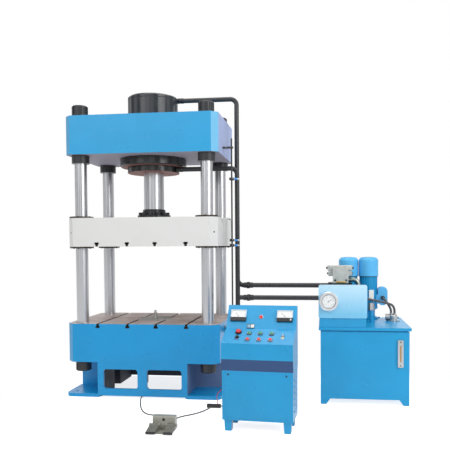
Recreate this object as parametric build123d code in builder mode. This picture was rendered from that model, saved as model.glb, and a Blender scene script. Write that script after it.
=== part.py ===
from build123d import *
import os
from math import atan2, cos, pi, radians, sin, tan

# A four-column hydraulic press with its power unit, control console and twin foot switch.
# Millimetres, +Z up. The origin is on the floor, in the middle of everything's outer box.
# The press faces -Y. Places of the press are measured from its own axis.

os.makedirs("parts", exist_ok=True)

# Driving dimensions of the press frame
press_width = 1340
press_depth = 842
corner_cut = 54
base_height = 303
bed_height = 333
frame_daylight = 1457
crown_height = 332
column_diameter = 104
column_inset_x = 98.5
column_inset_y = 88.5

# Base frame
panel_nut_clearance = 96.5
wing_depth = 200
base_wall = 25
foot_overhang = 15
foot_height = 30
foot_round = 55
foot_step = 12
foot_inner_y = 88
rail_rise = 14
window_margin = 51
window_mullion = 82
window_height = 168
window_sill = 76
window_round = 25
anchor_inset_x = 75
anchor_inset_y = 76
anchor_hole_diameter = 26

# Bed and slide
outer_slot_clearance = 88
bed_inner_slot_spacing = 250
slide_inner_slot_spacing = 244
slot_neck_width = 22
slot_neck_depth = 18
slot_head_width = 37
slot_head_depth = 18
plate_diameter = 330
plate_thickness = 40
slide_width = 1315
slide_depth = 830
slide_height = 248
slide_daylight = 665
bush_diameter = 140
bush_plate_width = 188
bush_plate_depth = 170
bush_plate_thickness = 14
bush_plate_cut = 48
striker_length = 64
striker_width = 30
striker_thickness = 12

# Column nuts and collars
top_nut_diameter = 137
top_nut_height = 95
low_nut_diameter = 133
low_nut_height = 88
nut_cut = 8
column_end_depth = 10
spanner_slot_width = 18
spanner_slot_depth = 6
spanner_slots = 6
collar_diameter = 150
collar_height = 70
collar_joint = 3

# Main cylinder and ram
barrel_diameter = 451
barrel_height = 223
barrel_edge_cut = 10
spigot_diameter = 400
bore_diameter = 330
bore_end_thickness = 48
ring_diameter = 597
ring_height = 75
ring_edge_cut = 8
gland_diameter = 466
gland_height = 52
gland_screw_circle = 434
gland_screw_head = 36
gland_screw_seat = 20
gland_screws = 12
rod_diameter = 180
piston_height = 80
piston_end_gap = 5
flange_diameter = 300
flange_height = 36
flange_collar_diameter = 206
flange_collar_height = 51
flange_screw_circle = 256
flange_screw_head = 32
flange_screw_height = 24
flange_screws = 12
ram_drop = 320
ram_lift = 150

# Ejector
ejector_body_diameter = 150
ejector_body_drop = 108
ejector_body_rise = 257
ejector_flange_diameter = 240
ejector_flange_thickness = 28
ejector_bore_diameter = 110
ejector_end_thickness = 28
ejector_rod_diameter = 42
ejector_piston_height = 40
ejector_piston_drop = 216
ejector_cone_height = 72
ejector_cone_land = 4
ejector_tip_diameter = 16

# Pipes of the press
pipe_diameter = 42
pipe_wall = 4
pipe_bend = 56
upper_pipe_reach = 96
upper_pipe_y = 30
upper_pipe_drop = 23
upper_pipe_run_rise = 310
lower_pipe_reach = 110
lower_pipe_y = -60
lower_pipe_run_rise = 205
ejector_line_rise = 245
port_nut_diameter = 50
port_nut_length = 34
port_neck_length = 22
union_diameter = 66
union_length = 26
union_sides = 6
union_neck_diameter = 50
union_neck_length = 30

# Limit rail with its sensors
rail_diameter = 14
rail_reach = 76
rail_y = -150
rail_foot_rise = 245
rail_head_rise = 147
rail_bracket_height = 14
rail_bracket_width = 40
upper_bracket_rise = 68
lower_bracket_drop = 46
upper_sensor_drop = 206
middle_sensor_rise = 50
lower_sensor_rise = 5
sensor_clamp = 38
sensor_clamp_height = 22
sensor_diameter = 18
sensor_length = 30
sensor_tip_diameter = 12
sensor_tip_length = 16

# Power unit
unit_gap = 835
tank_front = -447.6
tank_width = 711
tank_depth = 680
tank_foot_height = 46
tank_height = 554
tank_wall = 6
tank_rim_width = 40
tank_foot_width = 46
tank_foot_top = 78
tank_foot_depth = 60
lid_width = 740
lid_depth = 710
lid_seam_height = 9
lid_seam_inset = 10
lid_thickness = 24
gauge_panel_inset = 1
gauge_panel_width = 390
gauge_panel_height = 270
gauge_panel_wall = 4
gauge_panel_return = 46
gauge_panel_round = 14
panel_stand_height = 76
panel_stand_inset = 8
manifold_offset = -265
manifold_width = 180
manifold_front = -130
manifold_depth = 190
manifold_height = 341
valve_width = 133
valve_depth = 120
valve_height = 130
valve_inset = 15
valve_front = -140
pilot_width = 237
pilot_height = 44
pilot_depth = 62
pilot_shift = -6
main_solenoid_width = 222
main_solenoid_height = 46
main_solenoid_drop = 26
valve_knob_diameter = 20
valve_knob_length = 12
gauge_inset = 82.6
gauge_rise = 138.5
gauge_rim_diameter = 155
gauge_body_diameter = 140
gauge_dial_diameter = 116
gauge_rim_depth = 30
gauge_dial_depth = 10
gauge_body_depth = 44
gauge_needle_length = 44
gauge_needle_width = 4
gauge_needle_thickness = 1.2
gauge_hub_diameter = 12
needle_lift = 2.2
needle_angle = 35
level_inset = 71
level_top_drop = 64
level_height = 222
level_width = 45
level_depth = 16
level_round = 7.5
level_window_height = 148
level_window_width = 15
motor_middle_offset = -16
motor_spacing = 178
motor_y = 150
motor_diameter = 160
motor_bell_height = 96
motor_bell_foot_diameter = 170
motor_bell_waist_diameter = 120
motor_bell_foot_thickness = 14
motor_flange_diameter = 168
motor_flange_thickness = 14
motor_body_height = 297
motor_fin_height = 8
motor_fin_width = 3
motor_fins = 24
cowl_diameter = 176
cowl_height = 171
cowl_round = 38
cowl_wall = 3
cowl_overlap = 18
terminal_box_width = 86
terminal_box_depth = 92
terminal_box_height = 165
terminal_box_rise = 127
terminal_box_round = 40
terminal_gland_diameter = 34
terminal_gland_length = 22
terminal_gland_rise = 68
filler_inset = 55
filler_y = 180
filler_neck_diameter = 62
filler_neck_height = 40
filler_cap_diameter = 84
filler_cap_height = 46
conduit_inset = 95
conduit_y = 10
conduit_disc_diameter = 118
conduit_disc_thickness = 8
conduit_body_diameter = 76
conduit_body_height = 48
conduit_mouth_diameter = 54
conduit_mouth_length = 26
conduit_gland_spacing = 30
conduit_gland_diameter = 26
conduit_gland_height = 14
outlet_offset = 80
outlet_y = -100
outlet_pipe_diameter = 34
outlet_nut_diameter = 52
outlet_nut_rise = 105
outlet_nut_height = 70
outlet_cap_width = 40
outlet_cap_rise = 201
outlet_cap_height = 78
return_line_diameter = 40
return_line_offset = -30
return_line_y = -50
return_line_rise = 26
return_line_bend = 44

# Control console, in its own frame: x along its front, y backwards, from its front's middle
console_reach = 416
console_y = -1237
console_turn = -4.5
cabinet_width = 504
cabinet_bottom = 78
cabinet_top = 428
console_depth = 245
housing_width = 508
apron_reach = 17
apron_bottom = 511
apron_top = 623
desk_back = 139
desk_back_height = 706
panel_back = 234
panel_top = 865
sheet = 3
cabinet_cover_width = 470
cabinet_cover_height = 318
cabinet_cover_thickness = 2
cable_port_width = 160
cable_port_depth = 90
leg_span = 478
leg_top = 56
leg_bottom = 45
leg_depth = 44
leg_inset = 6
louvre_rows = 6
louvre_bottom = 140
louvre_pitch = 44
louvre_height = 22
louvre_depth = 7
louvre_front = 50
louvre_length = 150
meter_width = 114
meter_height = 86
meter_spacing = 340
meter_rise = 99
meter_depth = 16
meter_cover_height = 31
meter_dial_depth = 6
meter_frame = 5
meter_barrel_diameter = 60
meter_barrel_length = 28
meter_needle_length = 40
meter_needle_width = 2.4
meter_needle_thickness = 1
meter_hub_diameter = 7
meter_needle_range = 80
lamp_diameter = 30
lamp_rise = 93
lamp_shift = -4
lamp_height = 9
lamp_barrel_diameter = 16
lamp_barrel_length = 30
counter_width = 54
counter_height = 33
counter_shift = -73
counter_rise = 19
counter_depth = 6
button_shifts = (-72, 9, 90)
start_row = 118
stop_row = 46
button_plate = 32
button_plate_thickness = 2
button_ring_diameter = 30
button_ring_height = 6
button_cap_diameter = 22
button_cap_height = 11
button_edge_cut = 1
button_rise = 4
button_clearance = 0.3
button_stem_diameter = 9
button_stem_length = 30
emergency_shift = -152
emergency_row = 130
emergency_head_diameter = 36
emergency_head_height = 11
emergency_neck_diameter = 20
emergency_neck_height = 18
emergency_plate_diameter = 48
emergency_stroke = 5
selector_shift = -152
selector_row = 74
selector_plate_gap = 22
selector_knob_length = 24
selector_knob_width = 8
selector_knob_height = 15
label_width = 30
label_height = 14
key_switch_shift = 172
key_switch_row = 84
key_plate_width = 20
key_plate_height = 42
key_lever_diameter = 7
key_lever_length = 18
key_lever_width = 13

# Twin foot switch
switch_x = 420
switch_front = -1380
switch_width = 162
switch_face = -1250
switch_back_depth = 60
switch_height = 99
switch_base_thickness = 5
switch_base_inset = 36
switch_roof_round = 10
switch_wall = 4
switch_hole_diameter = 22
switch_hole_height = 74
pedal_spacing = 124
pedal_width = 66
pedal_rear = -1262
pedal_thickness = 8
pedal_front_height = 23
pedal_rear_height = 46
pedal_lip_height = 14
pedal_pin_diameter = 10
pedal_ear_thickness = 6
pedal_tube_diameter = 18
cable_gland_diameter = 18
cable_gland_length = 16
cable_gland_height = 28
cable_gland_spacing = 38

# Cables
floor_cable_diameter = 10
floor_gap = 0.1
arc_share = 0.45
motor_cable_diameter = 20
wire_diameter = 6
junction_x = -5
junction_width = 60
junction_depth = 60
junction_bottom = 120
junction_height = 70
junction_gland_inset = 44
junction_gland_diameter = 18
junction_gland_height = 20
connector_x = 613
connector_y = -655
connector_length = 112
connector_diameter = 34
connector_lead_shift = 34
lead_port_x = -60
lead_port_height = 110
lead_port_run = 50
motor_cable_y = -105
motor_cable_z = 850

# Fits
running_clearance = 0.05
seat_clearance = 0.2
column_hole_clearance = 0.5

# Levels and places that follow
moving_width = min(press_width, slide_width)
moving_depth = min(press_depth, slide_depth)
column_spacing_x = moving_width - 2 * column_inset_x
column_spacing_y = moving_depth - 2 * column_inset_y
foot_span = press_width + 2 * foot_overhang
panel_width = column_spacing_x - low_nut_diameter - 2 * panel_nut_clearance
foot_inner_x = panel_width / 2 - foot_step
window_width = (panel_width - 2 * window_margin - window_mullion) / 2
window_spacing = window_width + window_mullion
anchor_spacing_x = foot_span - 2 * anchor_inset_x
anchor_spacing_y = press_depth - 2 * anchor_inset_y
outer_slot_spacing = column_spacing_x - bush_diameter - 2 * outer_slot_clearance - slot_neck_width
bed_top = base_height + bed_height
crown_bottom = bed_top + frame_daylight
crown_top = crown_bottom + crown_height
barrel_top = crown_top + barrel_height
slide_bottom = bed_top + slide_daylight
slide_top = slide_bottom + slide_height
ring_bottom = crown_bottom - ring_height
gland_bottom = ring_bottom - gland_height
bore_top = barrel_top - bore_end_thickness
piston_top = bore_top - ram_lift - piston_end_gap
piston_bottom = piston_top - piston_height
gland_top = piston_bottom - ram_drop - piston_end_gap
machine_side = max(press_width, slide_width) / 2
upper_pipe_x = machine_side + upper_pipe_reach
upper_pipe_top = barrel_top - upper_pipe_drop
lower_pipe_x = machine_side + lower_pipe_reach
lower_pipe_top = gland_bottom + gland_height / 2
ejector_line_height = base_height + ejector_line_rise
rail_x = machine_side + rail_reach
rail_bottom = base_height + rail_foot_rise
rail_top = crown_bottom + rail_head_rise
upper_bracket_height = crown_bottom + upper_bracket_rise
lower_bracket_height = bed_top - lower_bracket_drop
sensor_heights = (
    crown_bottom - upper_sensor_drop,
    slide_bottom + middle_sensor_rise,
    slide_bottom + lower_sensor_rise,
)
unit_x = machine_side + unit_gap + lid_width / 2
machine_left = max(foot_span, slide_width) / 2
machine_width = machine_left + unit_x + lid_width / 2
machine_depth = press_depth / 2 - switch_front
press_x = machine_left - machine_width / 2
press_y = machine_depth / 2 - press_depth / 2
console_x = machine_side + console_reach
slope_desk = atan2(desk_back_height - apron_top, desk_back + apron_reach)
slope_panel = atan2(panel_top - desk_back_height, panel_back - desk_back)
lid_bottom = tank_foot_height + tank_height
lid_top = lid_bottom + lid_seam_height + lid_thickness
upper_pipe_run = lid_top + upper_pipe_run_rise
lower_pipe_run = lid_top + lower_pipe_run_rise
panel_front = tank_front - (lid_depth - tank_depth) / 2
manifold_left = unit_x + manifold_offset
manifold_top = lid_top + manifold_height
valve_left = manifold_left + valve_inset
gauge_panel_left = unit_x - lid_width / 2 - gauge_panel_inset
gauge_x = gauge_panel_left + gauge_inset
gauge_height = lid_top + panel_stand_height + gauge_rise
level_x = unit_x + tank_width / 2 - level_inset
level_bottom = lid_bottom - level_top_drop - level_height
motor_middle = unit_x + motor_middle_offset
motor_xs = (motor_middle - motor_spacing / 2, motor_middle + motor_spacing / 2)
filler_x = unit_x - lid_width / 2 + filler_inset
conduit_x = unit_x + lid_width / 2 - conduit_inset
outlet_x = unit_x + outlet_offset
outlet_nut_bottom = lid_top + outlet_nut_rise
outlet_cap_bottom = lid_top + outlet_cap_rise
return_line_x = unit_x + return_line_offset
return_line_height = manifold_top + return_line_rise


def press_place(x, y, z):
    """Give a place of the press, measured from its axis at the floor."""
    return (press_x + x, press_y + y, z)


def level_at(x, y, z):
    """Give a level plane at a place of the press."""
    return Plane(press_place(x, y, z))


def front_at(x, y, z):
    """Give an upright plane that faces the front, with its y upwards."""
    return Plane(press_place(x, y, z), x_dir=(1, 0, 0), z_dir=(0, -1, 0))


def side_at(x, y, z):
    """Give an upright plane that faces right, with its x backwards and its y upwards."""
    return Plane(press_place(x, y, z), x_dir=(0, 1, 0), z_dir=(1, 0, 0))


def upright_axis(x, y):
    """Give the upright axis through a place of the press."""
    return Axis(press_place(x, y, 0), (0, 0, 1))


def console_direction(x, y, z):
    """Give a direction of the console in the part's own frame."""
    return Vector(x, y, z).rotate(Axis.Z, console_turn)


def console_place(x, y, z):
    """Give a place of the console, measured from the middle of its front at the floor."""
    return Vector(*press_place(console_x, console_y, 0)) + console_direction(x, y, z)


def console_plane(place, x_dir, z_dir):
    """Give a plane of the console from its place and its two directions."""
    return Plane(console_place(*place), x_dir=console_direction(*x_dir), z_dir=console_direction(*z_dir))


def desk_plane(x, rise, lift=0):
    """Give a plane on the desk, a rise up its slope from the front edge and a lift off its face."""
    normal = (0, -sin(slope_desk), cos(slope_desk))
    place = (
        x,
        -apron_reach + rise * cos(slope_desk) + lift * normal[1],
        apron_top + rise * sin(slope_desk) + lift * normal[2],
    )
    return console_plane(place, (1, 0, 0), normal)


def panel_plane(x, rise, lift=0):
    """Give a plane on the upper panel, a rise up its slope from the desk and a lift off its face."""
    normal = (0, -sin(slope_panel), cos(slope_panel))
    place = (
        x,
        desk_back + rise * cos(slope_panel) + lift * normal[1],
        desk_back_height + rise * sin(slope_panel) + lift * normal[2],
    )
    return console_plane(place, (1, 0, 0), normal)


def side_reach(radius, offset, half_width):
    """Give how far along X a flat end stands from an upright cylinder's axis to meet its side."""
    nearest = max(abs(offset) - half_width, 0)
    return (radius**2 - nearest**2) ** 0.5 + seat_clearance


def write_piece(piece, name):
    """Label a finished piece and write its STEP file."""
    piece.part.label = name
    export_step(piece.part, f"parts/{name}.step")


# Base frame: a plus-shaped ring of plates with windows, on four corner foot plates
with BuildPart() as base_frame:
    with BuildSketch(level_at(0, 0, 0)):
        Rectangle(panel_width, press_depth)
        Rectangle(press_width, wing_depth)
    extrude(amount=base_height)
    with BuildSketch(level_at(0, 0, 0)):
        Rectangle(panel_width - 2 * base_wall, press_depth - 2 * base_wall)
        Rectangle(press_width - 2 * base_wall, wing_depth - 2 * base_wall)
    extrude(amount=base_height, mode=Mode.SUBTRACT)
    with BuildSketch(level_at(0, 0, 0)):
        Rectangle(2 * foot_inner_x, press_depth)
        Rectangle(2 * foot_inner_x, press_depth - 2 * base_wall, mode=Mode.SUBTRACT)
    extrude(amount=rail_rise, mode=Mode.SUBTRACT)
    with BuildSketch(level_at(0, 0, 0)):
        RectangleRounded(foot_span, press_depth, foot_round)
        Rectangle(2 * foot_inner_x, press_depth, mode=Mode.SUBTRACT)
        Rectangle(foot_span, 2 * foot_inner_y, mode=Mode.SUBTRACT)
    extrude(amount=foot_height)
    with BuildSketch(front_at(0, -press_depth / 2, window_sill + window_height / 2)):
        with GridLocations(window_spacing, 0, 2, 1):
            RectangleRounded(window_width, window_height, window_round)
    extrude(amount=-press_depth, mode=Mode.SUBTRACT)
    with BuildSketch(level_at(0, 0, 0)):
        with GridLocations(anchor_spacing_x, anchor_spacing_y, 2, 2):
            Circle(anchor_hole_diameter / 2)
    extrude(amount=foot_height, mode=Mode.SUBTRACT)
write_piece(base_frame, "base_frame")


def draw_slots(spacing, opening):
    """Draw a pair of T-slots with their mouths up, or down where opening is -1."""
    with GridLocations(spacing, 0, 2, 1):
        Rectangle(slot_neck_width, 2 * slot_neck_depth)
    with Locations((0, -opening * (slot_neck_depth + slot_head_depth / 2))):
        with GridLocations(spacing, 0, 2, 1):
            Rectangle(slot_head_width, slot_head_depth)


# Bed: a block with T-slots in its table, the columns' holes and the ejector's well
with BuildPart() as bed:
    with BuildSketch(level_at(0, 0, base_height)) as bed_plan:
        Rectangle(press_width, press_depth)
        chamfer(bed_plan.vertices(), corner_cut)
    extrude(amount=bed_height)
    with BuildSketch(level_at(0, 0, base_height)):
        with GridLocations(column_spacing_x, column_spacing_y, 2, 2):
            Circle(column_diameter / 2 + column_hole_clearance)
        Circle(ejector_body_diameter / 2 + column_hole_clearance)
    extrude(amount=bed_height, mode=Mode.SUBTRACT)
    with BuildSketch(front_at(0, -press_depth / 2, bed_top)):
        draw_slots(outer_slot_spacing, 1)
        draw_slots(bed_inner_slot_spacing, 1)
    extrude(amount=-press_depth, mode=Mode.SUBTRACT)
    with BuildSketch(level_at(0, 0, bed_top - plate_thickness)):
        Circle(plate_diameter / 2 + seat_clearance)
    extrude(amount=plate_thickness, mode=Mode.SUBTRACT)
write_piece(bed, "bed")

# Centre plate: it closes the ejector's well, level with the table
with BuildPart() as centre_plate:
    with BuildSketch(level_at(0, 0, bed_top - plate_thickness)):
        Circle(plate_diameter / 2)
        Circle(ejector_rod_diameter / 2 + running_clearance, mode=Mode.SUBTRACT)
    extrude(amount=plate_thickness)
write_piece(centre_plate, "centre_plate")

# Ejector cylinder: flanged under the bed, with a closed foot and a guide for its rod
ejector_bottom = base_height - ejector_body_drop
ejector_top = base_height + ejector_body_rise
with BuildPart() as ejector_cylinder:
    with BuildSketch(front_at(0, 0, 0)):
        with BuildLine():
            Polyline(
                (0, ejector_bottom),
                (ejector_body_diameter / 2, ejector_bottom),
                (ejector_body_diameter / 2, base_height - ejector_flange_thickness),
                (ejector_flange_diameter / 2, base_height - ejector_flange_thickness),
                (ejector_flange_diameter / 2, base_height),
                (ejector_body_diameter / 2, base_height),
                (ejector_body_diameter / 2, ejector_top),
                (ejector_rod_diameter / 2 + running_clearance, ejector_top),
                (ejector_rod_diameter / 2 + running_clearance, ejector_top - ejector_end_thickness),
                (ejector_bore_diameter / 2, ejector_top - ejector_end_thickness),
                (ejector_bore_diameter / 2, ejector_bottom + ejector_end_thickness),
                (0, ejector_bottom + ejector_end_thickness),
                close=True,
            )
        make_face()
    revolve(axis=upright_axis(0, 0))
write_piece(ejector_cylinder, "ejector_cylinder")

# Ejector pin: piston, rod and a cone that stands out of the table
ejector_piston_bottom = bed_top - plate_thickness - ejector_piston_drop
with BuildPart() as ejector_pin:
    with BuildSketch(front_at(0, 0, 0)):
        with BuildLine():
            Polyline(
                (0, ejector_piston_bottom),
                (ejector_bore_diameter / 2 - running_clearance, ejector_piston_bottom),
                (ejector_bore_diameter / 2 - running_clearance, ejector_piston_bottom + ejector_piston_height),
                (ejector_rod_diameter / 2, ejector_piston_bottom + ejector_piston_height),
                (ejector_rod_diameter / 2, bed_top + ejector_cone_land),
                (ejector_tip_diameter / 2, bed_top + ejector_cone_land + ejector_cone_height),
                (0, bed_top + ejector_cone_land + ejector_cone_height),
                close=True,
            )
        make_face()
    revolve(axis=upright_axis(0, 0))
write_piece(ejector_pin, "ejector_pin")

# Crown: the upper block that carries the cylinder
with BuildPart() as crown:
    with BuildSketch(level_at(0, 0, crown_bottom)) as crown_plan:
        Rectangle(press_width, press_depth)
        chamfer(crown_plan.vertices(), corner_cut)
    extrude(amount=crown_height)
    with BuildSketch(level_at(0, 0, crown_bottom)):
        with GridLocations(column_spacing_x, column_spacing_y, 2, 2):
            Circle(column_diameter / 2 + column_hole_clearance)
        Circle(spigot_diameter / 2 + seat_clearance)
    extrude(amount=crown_height, mode=Mode.SUBTRACT)
write_piece(crown, "crown")

# Columns: four ground bars from the lower nuts to the upper ones
column_bottom = base_height - low_nut_height + column_end_depth
column_top = crown_top + top_nut_height - column_end_depth
with BuildPart() as columns:
    with BuildSketch(level_at(0, 0, column_bottom)):
        with GridLocations(column_spacing_x, column_spacing_y, 2, 2):
            Circle(column_diameter / 2)
    extrude(amount=column_top - column_bottom)
write_piece(columns, "columns")

# Column nuts: round spanner nuts above the crown and below the bed
with BuildPart() as column_nuts:
    with BuildSketch(level_at(0, 0, crown_top)):
        with GridLocations(column_spacing_x, column_spacing_y, 2, 2):
            Circle(top_nut_diameter / 2)
    extrude(amount=top_nut_height)
    chamfer(column_nuts.edges().group_by(Axis.Z)[-1], nut_cut)
    with BuildSketch(level_at(0, 0, base_height)):
        with GridLocations(column_spacing_x, column_spacing_y, 2, 2):
            Circle(low_nut_diameter / 2)
    extrude(amount=-low_nut_height)
    chamfer(column_nuts.edges().group_by(Axis.Z)[0], nut_cut)
    with BuildSketch(level_at(0, 0, base_height - low_nut_height)):
        with GridLocations(column_spacing_x, column_spacing_y, 2, 2):
            Circle(column_diameter / 2 + seat_clearance)
    extrude(amount=crown_top + top_nut_height, mode=Mode.SUBTRACT)
    with BuildSketch(level_at(0, 0, crown_top + top_nut_height / 4)):
        with GridLocations(column_spacing_x, column_spacing_y, 2, 2):
            with PolarLocations(top_nut_diameter / 2, spanner_slots):
                Rectangle(2 * spanner_slot_depth, spanner_slot_width)
    extrude(amount=top_nut_height, mode=Mode.SUBTRACT)
    with BuildSketch(level_at(0, 0, base_height - low_nut_height / 4)):
        with GridLocations(column_spacing_x, column_spacing_y, 2, 2):
            with PolarLocations(low_nut_diameter / 2, spanner_slots):
                Rectangle(2 * spanner_slot_depth, spanner_slot_width)
    extrude(amount=-low_nut_height, mode=Mode.SUBTRACT)
write_piece(column_nuts, "column_nuts")

# Column collars: split rings that the crown rests on
with BuildPart() as column_collars:
    with BuildSketch(level_at(0, 0, crown_bottom)):
        with GridLocations(column_spacing_x, column_spacing_y, 2, 2):
            Circle(collar_diameter / 2)
            Circle(column_diameter / 2 + seat_clearance, mode=Mode.SUBTRACT)
        with Locations((0, collar_diameter / 2)):
            with GridLocations(column_spacing_x, column_spacing_y, 2, 2):
                Rectangle(collar_joint, collar_diameter, mode=Mode.SUBTRACT)
    extrude(amount=-collar_height)
write_piece(column_collars, "column_collars")

# Main cylinder: a forged barrel with a closed top, its shoulder on the crown
with BuildPart() as cylinder_barrel:
    with BuildSketch(front_at(0, 0, 0)):
        with BuildLine():
            Polyline(
                (0, barrel_top),
                (barrel_diameter / 2 - barrel_edge_cut, barrel_top),
                (barrel_diameter / 2, barrel_top - barrel_edge_cut),
                (barrel_diameter / 2, crown_top),
                (spigot_diameter / 2, crown_top),
                (spigot_diameter / 2, ring_bottom),
                (bore_diameter / 2, ring_bottom),
                (bore_diameter / 2, bore_top),
                (0, bore_top),
                close=True,
            )
        make_face()
    revolve(axis=upright_axis(0, 0))
write_piece(cylinder_barrel, "cylinder_barrel")

# Clamp ring: a nut round the barrel's neck, tight under the crown
with BuildPart() as cylinder_ring:
    with BuildSketch(level_at(0, 0, ring_bottom)):
        Circle(ring_diameter / 2)
        Circle(spigot_diameter / 2 + seat_clearance, mode=Mode.SUBTRACT)
    extrude(amount=ring_height)
    outer_foot = cylinder_ring.edges().group_by(Axis.Z)[0].sort_by(SortBy.LENGTH)[-1]
    chamfer(outer_foot, ring_edge_cut)
write_piece(cylinder_ring, "cylinder_ring")

# Gland: it closes the bore round the rod, with its screws in scallops round the rim
with BuildPart() as cylinder_gland:
    with BuildSketch(level_at(0, 0, gland_bottom)):
        Circle(gland_diameter / 2)
    extrude(amount=gland_height)
    with BuildSketch(level_at(0, 0, ring_bottom)):
        Circle(bore_diameter / 2 - seat_clearance)
    extrude(amount=gland_top - ring_bottom)
    with BuildSketch(level_at(0, 0, gland_bottom)):
        Circle(rod_diameter / 2 + running_clearance)
    extrude(amount=gland_top - gland_bottom, mode=Mode.SUBTRACT)
    with BuildSketch(level_at(0, 0, gland_bottom)):
        with PolarLocations(gland_screw_circle / 2, gland_screws):
            Circle(gland_screw_head / 2 + column_hole_clearance)
    extrude(amount=gland_height - gland_screw_seat, mode=Mode.SUBTRACT)
    with BuildSketch(level_at(0, 0, ring_bottom - gland_screw_seat)):
        with PolarLocations(gland_screw_circle / 2, gland_screws):
            Circle(gland_screw_head / 2)
    extrude(amount=-(gland_height - gland_screw_seat))
write_piece(cylinder_gland, "cylinder_gland")

# Ram: the rod with its piston
with BuildPart() as ram:
    with BuildSketch(level_at(0, 0, slide_top)):
        Circle(rod_diameter / 2)
    extrude(amount=piston_bottom - slide_top)
    with BuildSketch(level_at(0, 0, piston_bottom)):
        Circle(bore_diameter / 2 - running_clearance)
    extrude(amount=piston_height)
write_piece(ram, "ram")

# Ram flange: it holds the rod's foot to the slide, with a ring of cap screws
with BuildPart() as ram_flange:
    with BuildSketch(level_at(0, 0, slide_top)):
        Circle(flange_diameter / 2)
    extrude(amount=flange_height)
    with BuildSketch(level_at(0, 0, slide_top + flange_height)):
        Circle(flange_collar_diameter / 2)
    extrude(amount=flange_collar_height)
    with BuildSketch(level_at(0, 0, slide_top + flange_height)):
        with PolarLocations(flange_screw_circle / 2, flange_screws):
            Circle(flange_screw_head / 2)
    extrude(amount=flange_screw_height)
    with BuildSketch(level_at(0, 0, slide_top)):
        Circle(rod_diameter / 2 + seat_clearance)
    extrude(amount=flange_height + flange_collar_height, mode=Mode.SUBTRACT)
write_piece(ram_flange, "ram_flange")

# Slide: the moving plate, with T-slots in its underside and a striker arm for the sensors
with BuildPart() as slide:
    with BuildSketch(level_at(0, 0, slide_bottom)) as slide_plan:
        Rectangle(slide_width, slide_depth)
        chamfer(slide_plan.vertices(), corner_cut)
    extrude(amount=slide_height)
    with BuildSketch(level_at(0, 0, slide_bottom)):
        with GridLocations(column_spacing_x, column_spacing_y, 2, 2):
            Circle(bush_diameter / 2 + seat_clearance)
    extrude(amount=slide_height, mode=Mode.SUBTRACT)
    with BuildSketch(front_at(0, -slide_depth / 2, slide_bottom)):
        draw_slots(outer_slot_spacing, -1)
        draw_slots(slide_inner_slot_spacing, -1)
    extrude(amount=-slide_depth, mode=Mode.SUBTRACT)
    with BuildSketch(level_at(slide_width / 2 + striker_length / 2, rail_y, slide_top)):
        Rectangle(striker_length, striker_width)
    extrude(amount=-striker_thickness)
write_piece(slide, "slide")

# Guide bushes: one from above and one from below at each column
with BuildPart() as guide_bushes:
    for face_height, inwards in ((slide_bottom, 1), (slide_top, -1)):
        with BuildSketch(level_at(0, 0, face_height)) as bush_plates:
            with GridLocations(column_spacing_x, column_spacing_y, 2, 2):
                Rectangle(bush_plate_width, bush_plate_depth)
            chamfer(bush_plates.vertices(), bush_plate_cut)
        extrude(amount=-inwards * bush_plate_thickness)
        with BuildSketch(level_at(0, 0, face_height)):
            with GridLocations(column_spacing_x, column_spacing_y, 2, 2):
                Circle(bush_diameter / 2)
        extrude(amount=inwards * (slide_height / 2 - seat_clearance))
    with BuildSketch(level_at(0, 0, slide_bottom - bush_plate_thickness)):
        with GridLocations(column_spacing_x, column_spacing_y, 2, 2):
            Circle(column_diameter / 2 + running_clearance)
    extrude(amount=slide_height + 2 * bush_plate_thickness, mode=Mode.SUBTRACT)
write_piece(guide_bushes, "guide_bushes")

# Upper pipe: from the barrel's top, down the press's side and across to the manifold
upper_pipe_start = side_reach(barrel_diameter / 2, upper_pipe_y, port_nut_diameter / 2)
with BuildPart() as upper_pipe:
    with BuildLine():
        upper_route = FilletPolyline(
            press_place(upper_pipe_start, upper_pipe_y, upper_pipe_top),
            press_place(upper_pipe_x, upper_pipe_y, upper_pipe_top),
            press_place(upper_pipe_x, upper_pipe_y, upper_pipe_run),
            press_place(manifold_left, upper_pipe_y, upper_pipe_run),
            radius=pipe_bend,
        )
    with BuildSketch(Plane(origin=upper_route @ 0, z_dir=upper_route % 0)):
        Circle(pipe_diameter / 2)
        Circle(pipe_diameter / 2 - pipe_wall, mode=Mode.SUBTRACT)
    sweep()
write_piece(upper_pipe, "upper_pipe")

# Lower pipe: from the gland, down past its branch to the manifold, and into the bed's side
lower_pipe_start = side_reach(gland_diameter / 2, lower_pipe_y, port_nut_diameter / 2)
with BuildPart() as lower_pipe:
    with BuildLine():
        lower_route = FilletPolyline(
            press_place(lower_pipe_start, lower_pipe_y, lower_pipe_top),
            press_place(lower_pipe_x, lower_pipe_y, lower_pipe_top),
            press_place(lower_pipe_x, lower_pipe_y, ejector_line_height),
            press_place(press_width / 2, lower_pipe_y, ejector_line_height),
            radius=pipe_bend,
        )
    with BuildSketch(Plane(origin=lower_route @ 0, z_dir=lower_route % 0)):
        Circle(pipe_diameter / 2)
        Circle(pipe_diameter / 2 - pipe_wall, mode=Mode.SUBTRACT)
    sweep()
    with BuildSketch(side_at(lower_pipe_x + pipe_diameter / 2 - pipe_wall, lower_pipe_y, lower_pipe_run)):
        Circle(pipe_diameter / 2)
        Circle(pipe_diameter / 2 - pipe_wall, mode=Mode.SUBTRACT)
    extrude(amount=manifold_left - lower_pipe_x - pipe_diameter / 2 + pipe_wall)
write_piece(lower_pipe, "lower_pipe")


def draw_nut_ring(diameter, sides=0):
    """Draw a ring, or a nut with flat sides, that fits round a pipe."""
    if sides:
        RegularPolygon(diameter / 2, sides)
    else:
        Circle(diameter / 2)
    Circle(pipe_diameter / 2 + seat_clearance, mode=Mode.SUBTRACT)


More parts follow.
